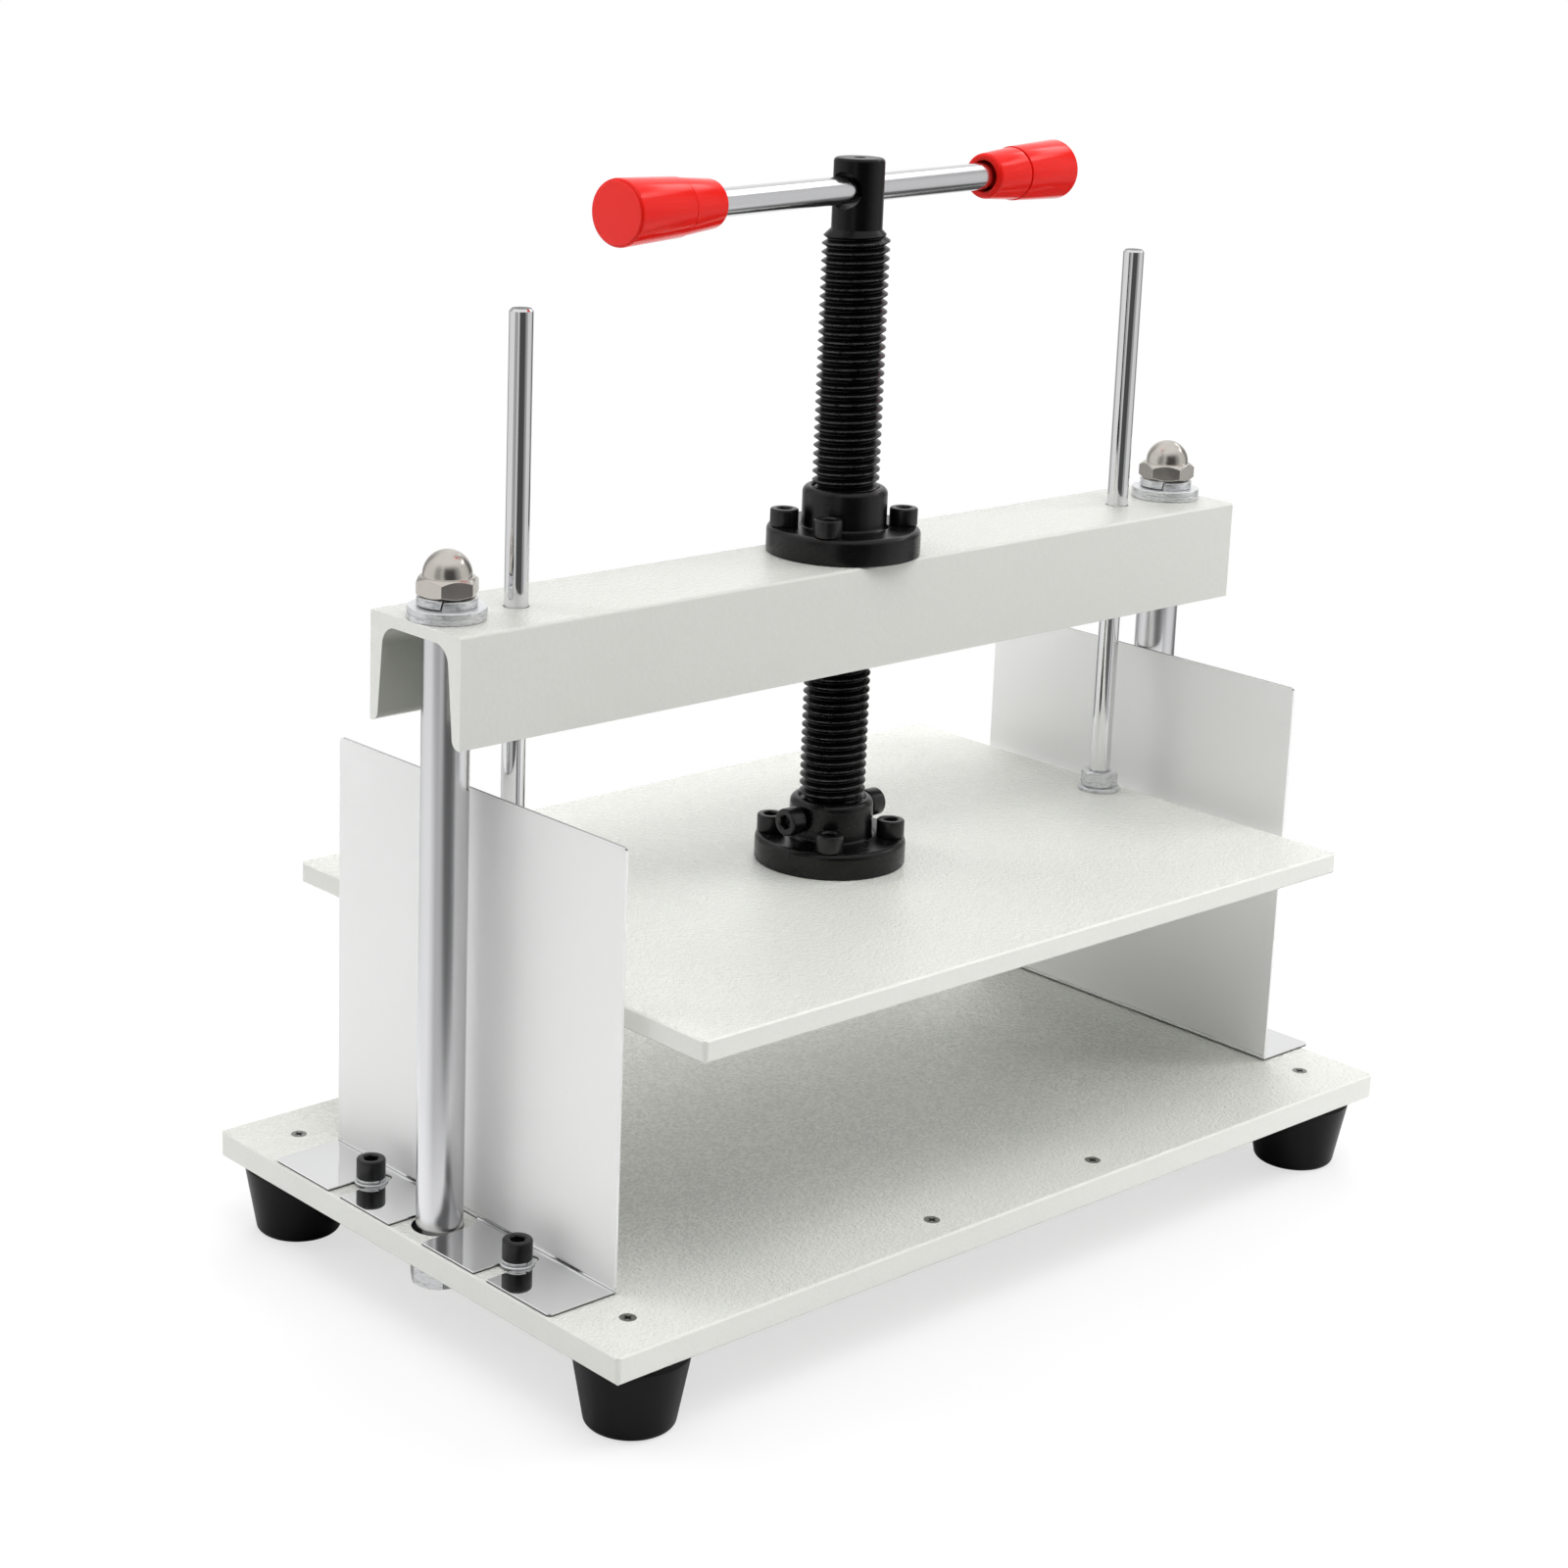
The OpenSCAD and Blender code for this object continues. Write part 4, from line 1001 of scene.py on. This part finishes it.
def spring_ring(outer, inner, height, gap, lean):
    """Split ring: a rounded rectangle carried round the axis for a turn less the gap while it climbs, both
    ends leaning."""
    rise = RING_CLIMB_SHARE * height
    half, tall = (outer - inner) / 2, height - rise
    corners = ((-half, 0), (half, 0), (half, tall), (-half, tall))
    section = np.array(rounded([(*corner, RING_ROUND) for corner in corners], 3))
    turns = np.linspace(gap / 2, 1 - gap / 2, RING_STEPS + 1)[:, None]
    slant = lean * height / outer * (section[:, 1] / tall - 0.5)
    angle = turns * FULL_TURN + slant[None, :]
    radius = (outer + inner) / 2 + section[None, :, 0]
    z = section[None, :, 1] + rise * turns
    points = np.stack([radius * np.cos(angle), radius * np.sin(angle), np.broadcast_to(z, angle.shape)], 2)
    return points.reshape(-1, 3), grid_faces(len(turns), len(section))[:, ::-1]


def stand_at(node, shape, places, spins):
    """Copies of a shape on the node's lowest level, each with its spin in degrees."""
    low, high = cad_box(node)
    return joined([placed(shape, (x, y, low[2]), spin=s) for (x, y), s in zip(places, spins)])


column_x = np.mean([b[0] for b in cad_box("column_right")])
rod_x = np.mean([b[0] for b in cad_box("guide_rod_right")])
at_columns = [(column_x, 0), (-column_x, 0)]
at_rods = [(rod_x, 0), (-rod_x, 0)]
at_guide_screws = [p[:2] for p in guide_places]
acorn = acorn_nut(cad_height("acorn_nuts") + ACORN_EXTRA)
column_nut = hex_nut(COLUMN_NUT_FLATS, cad_height("column_nuts"), COLUMN_THREAD_R)
rod_nut = hex_nut(ROD_NUT_FLATS, cad_height("rod_nuts"), ROD_NUT_BORE)
beam_ring = spring_ring(BEAM_RING_R, COLUMN_THREAD_R, cad_height("beam_spring_washers"),
                        BEAM_RING_GAP, BEAM_RING_LEAN)
guide_ring = spring_ring(GUIDE_RING_R, GUIDE_RING_BORE, GUIDE_RING_H, GUIDE_RING_GAP, GUIDE_RING_LEAN)

for node, name, finish_name, slot, shape, places, spins, ease in (
        ("acorn_nuts", "domed_nuts", "nickel", "nickel_plate", acorn, at_columns, ACORN_SPINS, NUT_EASE),
        ("column_nuts", "under_nuts", "zinc", "zinc_steel", column_nut, at_columns, (0, 0), NUT_EASE),
        ("rod_nuts", "rod_lock_nuts", "zinc", "zinc_steel", rod_nut, at_rods, (0, 0), NUT_EASE),
        ("beam_spring_washers", "beam_split_rings", "zinc", "zinc_steel", beam_ring, at_columns,
         BEAM_RING_SPINS, 0),
        ("guide_spring_washers", "guide_split_rings", "zinc", "zinc_steel", guide_ring, at_guide_screws,
         (GUIDE_RING_SPIN,) * 4, 0)):
    made = add_piece(name, add_mesh(name, *stand_at(node, shape, places, spins)), finish_name,
                     body_of_node[node], [node], NUT_CREASE)
    if ease:
        bevel(made, ease)


# Guide rods

ROD_R = 4.2
ROD_CHAMFER = 0.8
ROD_THREAD_R = 4.0
ROD_THREAD_CHAMFER = 0.5
ROD_THREAD_TOP = 145.9
ROD_STEPS = 64
# The rods are screwed into their nuts to slightly different depths
ROD_RISE = {"guide_rod_left": -0.7, "guide_rod_right": 0.7}


def guide_rod(foot, crown):
    """Rod with a plain turned end for its nut below and a chamfered end above."""
    return turned([
        (0, foot), (ROD_THREAD_R - ROD_THREAD_CHAMFER, foot), (ROD_THREAD_R, foot + ROD_THREAD_CHAMFER),
        (ROD_THREAD_R, ROD_THREAD_TOP), (ROD_R, ROD_THREAD_TOP), (ROD_R, crown - ROD_CHAMFER),
        (ROD_R - ROD_CHAMFER, crown), (0, crown)], ROD_STEPS)


for node, rise in ROD_RISE.items():
    low, high = cad_box(node)
    shape = placed(guide_rod(low[2], high[2] + rise), (*(low + high)[:2] / 2, 0))
    add_piece("chromed_" + node, add_mesh(node, *shape), "chrome", body_of_node[node],
              [node])


# Rubber feet

FOOT_TOP_R = 20.3
FOOT_TOP_EDGE = 0.5
# The top is turned in by a lip of that width and height, with its own edge
FOOT_LIP_WIDTH = 1.1
FOOT_LIP_H = 1.3
FOOT_LIP_EDGE = 0.4
FOOT_LOW_R = 15.5
FOOT_LOW_ROUND = 2.6
FOOT_HOLLOW_R = 8.6
FOOT_HOLLOW_EDGE = 0.6
FOOT_HOLLOW_FILLET = 0.5
FOOT_BORE_R = 3.4
FOOT_SEAT = 18.5
# The front left foot is screwed on a little beside its screw's middle
FOOT_OFF_CENTRE = {"front_left": (1.1, -1.0)}


def rubber_foot(height):
    """Tapered foot turned about its screw: soft lower edge, fine top edge and the hollow for its nut."""
    outline = rounded([
        (FOOT_HOLLOW_R, 0, FOOT_HOLLOW_EDGE), (FOOT_LOW_R, 0, FOOT_LOW_ROUND),
        (FOOT_TOP_R, height - FOOT_LIP_H, FOOT_TOP_EDGE),
        (FOOT_TOP_R - FOOT_LIP_WIDTH, height, FOOT_LIP_EDGE), (FOOT_BORE_R, height, 0),
        (FOOT_BORE_R, FOOT_SEAT, 0), (FOOT_HOLLOW_R, FOOT_SEAT, FOOT_HOLLOW_FILLET)], 8)
    return turned(outline, FINE_STEPS, ring=True)


for side in ("front_left", "front_right", "back_left", "back_right"):
    node = "foot_" + side
    low, high = cad_box(node)
    middle = (low + high)[:2] / 2 + FOOT_OFF_CENTRE.get(side, (0, 0))
    shape = placed(rubber_foot(high[2] - low[2]), (*middle, low[2]))
    add_piece("rubber_" + node, add_mesh(node, *shape), "black_rubber", body_of_node[node],
              [node])


# Handle grips

GRIP_LENGTH = 49.4
GRIP_R = 11.6
GRIP_END_ROUND = 1.4
GRIP_WAIST_R = 10.4
GRIP_STEP_Z = 30.0
# Groove at the step: how far inside the waist, how far beyond the step, and the corner's radius
GRIP_GROOVE = ((0, 0, 0.1), (0.75, 0.1, 0), (0.75, 0.5, 0), (0.35, 0.8, 0.1))
GRIP_NECK_R = 8.6
GRIP_NECK_ROUND = 1.8
GRIP_MOUTH_R = 6.0
GRIP_MOUTH_ROUND = 0.4
GRIP_MOUTH_DEPTH = 9.4
GRIP_WALL = 4
BAR_HOLE_R = 5.12
# The ridges' height, the sine of half their width, and how far from the grip's two ends they stop
RIDGE_H = 0.045
RIDGE_WIDTH = 0.02
RIDGE_ENDS = (1, 2)


def grip():
    """Moulded grip from its outer end: slim cone, a fine groove, a taper with a soft end and the bar's mouth.
    Two faint ridges run along the mould's parting."""
    angle = np.arange(FINE_STEPS) * FULL_TURN / FINE_STEPS
    ridge = RIDGE_H * (np.abs(np.sin(angle)) < RIDGE_WIDTH)
    groove = [(GRIP_WAIST_R - depth, GRIP_STEP_Z + rise, r) for depth, rise, r in GRIP_GROOVE]
    mouth_z = GRIP_LENGTH - GRIP_MOUTH_DEPTH
    outline = rounded([
        (0, 0, 0), (GRIP_R, 0, GRIP_END_ROUND), *groove, (GRIP_NECK_R, GRIP_LENGTH, GRIP_NECK_ROUND),
        (GRIP_MOUTH_R, GRIP_LENGTH, GRIP_MOUTH_ROUND), (GRIP_MOUTH_R, mouth_z, 0), (BAR_HOLE_R, mouth_z, 0),
        (BAR_HOLE_R, GRIP_WALL, 0), (0, GRIP_WALL, 0)], 7)
    on_side = [r > GRIP_MOUTH_R and RIDGE_ENDS[0] < z < GRIP_LENGTH - RIDGE_ENDS[1] for r, z in outline]
    return turned([(r + ridge if side else r, z) for (r, z), side in zip(outline, on_side)], FINE_STEPS)


bar_low, bar_high = cad_box("handle_bar")
bar_axis = np.array(BAR_AXIS)
bar_middle = np.array([0, 0, (bar_low[2] + bar_high[2]) / 2]) - BAR_SLIDE * bar_axis
for node, sign in (("grip_left", -1), ("grip_right", 1)):
    shape = placed(grip(), bar_middle + sign * HANDLE_HALF * bar_axis, -sign * bar_axis)
    add_piece("moulded_" + node, add_mesh(node, *shape), "red_plastic", body_of_node[node],
              [node])


# Floor, light and background

CAMERA_AZIMUTH = math.degrees(math.atan2(CAMERA_PLACE[1], CAMERA_PLACE[0]))
# Brightness of the room as gloss and metal show it, by degrees to the right of the camera. Both have white
# behind the object, a wide soft light on the left and dark beside the camera.
GROUND = ((-180, 1.0), (-168, 1.0), (-162, 0.15), (-150, 0.2), (-130, 0.6), (-110, 0.85), (-90, 0.95),
          (-60, 1.0), (-45, 0.8), (-37, 0.52), (-28, 0.55), (-14, 0.5), (-7, 0.13), (20, 0.12), (36, 0.25),
          (41, 0.62), (48, 0.6), (54, 0.36), (60, 0.4), (66, 0.95), (108, 0.95), (117, 0.1), (160, 0.08),
          (168, 1.0), (180, 1.0))
WALLS = ((-180, 1.0), (-130, 0.3), (-115, 0.8), (-60, 0.85), (-48, 0.4), (-26, 0.4), (-20, 0.75),
         (-12, 0.6), (-6, 0.08), (40, 0.08), (50, 0.35), (64, 0.4), (72, 0.75), (112, 0.7), (130, 0.15),
         (160, 0.8), (180, 1.0))
STRIP_LIGHT = ((-180, 0.0), (104, 0.0), (110, 1.0), (152, 1.0), (158, 0.0), (180, 0.0))
# Distances from the middle, in metres, over which the floor turns white for the camera, takes the room's
# brightness in mirrors, and passes from the ground to the walls
FLOOR_R = 2.6
FLOOR_FADE = (0.22, 0.55)
MIRROR_FADE = (0.22, 0.4)
GROUND_END = (0.85, 1.05)
# Share of white that the camera sees on the floor beside the object, brightness of the plain light and of
# the ceiling, and how much brighter than white the strip light is
FLOOR_HAZE = 0.65
PLAIN_LIGHT = 0.14
CEILING = 0.95
STRIP_EXTRA = 4
# Sines of the heights, seen from the middle, over which the ceiling begins and the strip light comes and goes
CEILING_START = (0.45, 0.85)
STRIP_START = (0.5, 0.54)
STRIP_END = (0.6, 0.64)


def room(start, direction, profile):
    """The brightness that the profile gives for that direction, whatever its height."""
    facing = start.node("ShaderNodeMapping", None, {
        "Vector": direction, "Rotation": (0, 0, math.radians(-CAMERA_AZIMUTH))})
    radial = {"gradient_type": "RADIAL"}
    azimuth = start.node("ShaderNodeTexGradient", radial, {"Vector": facing}, output="Fac")
    order = (0, -1, *range(1, len(profile) - 1))
    stops = [((profile[i][0] + 180) / 360, (profile[i][1],) * 3) for i in order]
    return start.node("ShaderNodeValToRGB", {"stops": stops}, {"Fac": azimuth}, output="Color")


def rays(start, kind):
    """1 for rays of that kind, such as Camera or Glossy."""
    return start.node("ShaderNodeLightPath", output=f"Is {kind} Ray")


def floor_paint(start):
    """Plain pale matt floor."""
    return {"Base Color": (0.86, 0.86, 0.86), "Roughness": 0.9, "Specular IOR Level": 0.1}


def make_floor():
    """Pale disc under the feet. For the camera it fades into the white background, and metal shows the room:
    the ground near by and the walls farther out."""
    data = bpy.data.meshes.new("floor")
    angle = np.linspace(0, FULL_TURN, STEPS, endpoint=False)
    ring = np.column_stack([FLOOR_R * np.cos(angle), FLOOR_R * np.sin(angle), np.zeros(STEPS)])
    data.from_pydata(ring.tolist(), [], [list(range(STEPS))])
    floor = bpy.data.objects.new("floor", data)
    bpy.context.scene.collection.objects.link(floor)
    material = finish("floor", floor_paint)
    tree = material.node_tree
    start = Value(tree)
    reach = vector_math(start, "LENGTH", place(start), output="Value")
    seen, mirrored = rays(start, "Camera") + rays(start, "Transmission"), rays(start, "Glossy")
    fade = seen * between(ramp(start, reach, *FLOOR_FADE), FLOOR_HAZE, 1)
    fade = fade + mirrored * ramp(start, reach, *MIRROR_FADE)
    shown = blend(start, ramp(start, reach, *GROUND_END), room(start, place(start), GROUND),
                  room(start, place(start), WALLS))
    light = start.node("ShaderNodeEmission", None, {"Color": blend(start, mirrored, (1, 1, 1), shown)})
    paint = Value(tree, tree.nodes["Principled BSDF"].outputs[0])
    mix = start.node("ShaderNodeMixShader", None, {0: fade, 1: paint, 2: light})
    start.feed(tree.nodes["Material Output"], "Surface", mix)
    data.materials.append(material)
    floor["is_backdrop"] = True


def make_world():
    """White for the camera, plain pale light for the rest. Gloss and metal show the walls, a bright ceiling
    and a strip light high on the right."""
    world = bpy.data.worlds.new("studio")
    bpy.context.scene.world = world
    world.use_nodes = True
    tree = world.node_tree
    start = Value(tree)
    direction = start.node("ShaderNodeTexCoord", output="Generated")
    height = split(start, direction)[2]
    seen, mirrored = rays(start, "Camera") + rays(start, "Transmission"), rays(start, "Glossy")
    studio = blend(start, ramp(start, height, *CEILING_START), room(start, direction, WALLS), (CEILING,) * 3)
    colour = blend(start, mirrored, (PLAIN_LIGHT,) * 3, studio)
    strip = ramp(start, height, *STRIP_START) * (1 - ramp(start, height, *STRIP_END))
    strip = strip * room(start, direction, STRIP_LIGHT) * mirrored
    background = tree.nodes["Background"]
    start.feed(background, "Color", blend(start, seen, colour, (1, 1, 1)))
    start.feed(background, "Strength", strip * STRIP_EXTRA + 1)


def make_lamp(name, place_at, target, size, power):
    """Soft lamp that faces the target. Gloss shows the room in its place."""
    data = bpy.data.lights.new(name, "AREA")
    data.shape = "RECTANGLE"
    data.size, data.size_y = size
    data.energy = power
    lamp = bpy.data.objects.new(name, data)
    bpy.context.scene.collection.objects.link(lamp)
    lamp.visible_glossy = False
    lamp.location = place_at
    lamp.rotation_mode = "QUATERNION"
    lamp.rotation_quaternion = (Vector(target) - Vector(place_at)).to_track_quat("-Z", "Y")


LAMP_TARGET = (0, 0, 0.15)
LAMPS = (("top_lamp", (0, 0, 2.3), (2.4, 2.4), 42),
         ("front_lamp", (-0.3, -1.0, 2.1), (1.6, 1.2), 16.5),
         ("right_lamp", (1.7, -0.9, 1.1), (0.9, 1.4), 20),
         ("back_left_lamp", (-1.2, 1.5, 1.4), (1.2, 1.2), 16.5),
         ("back_right_lamp", (1.3, 1.4, 1.6), (1.2, 1.2), 25))

make_floor()
make_world()
for lamp_name, lamp_place, lamp_size, lamp_power in LAMPS:
    make_lamp(lamp_name, lamp_place, LAMP_TARGET, lamp_size, lamp_power)


view_settings = bpy.context.scene.view_settings
view_settings.view_transform = "Standard"

low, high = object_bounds()
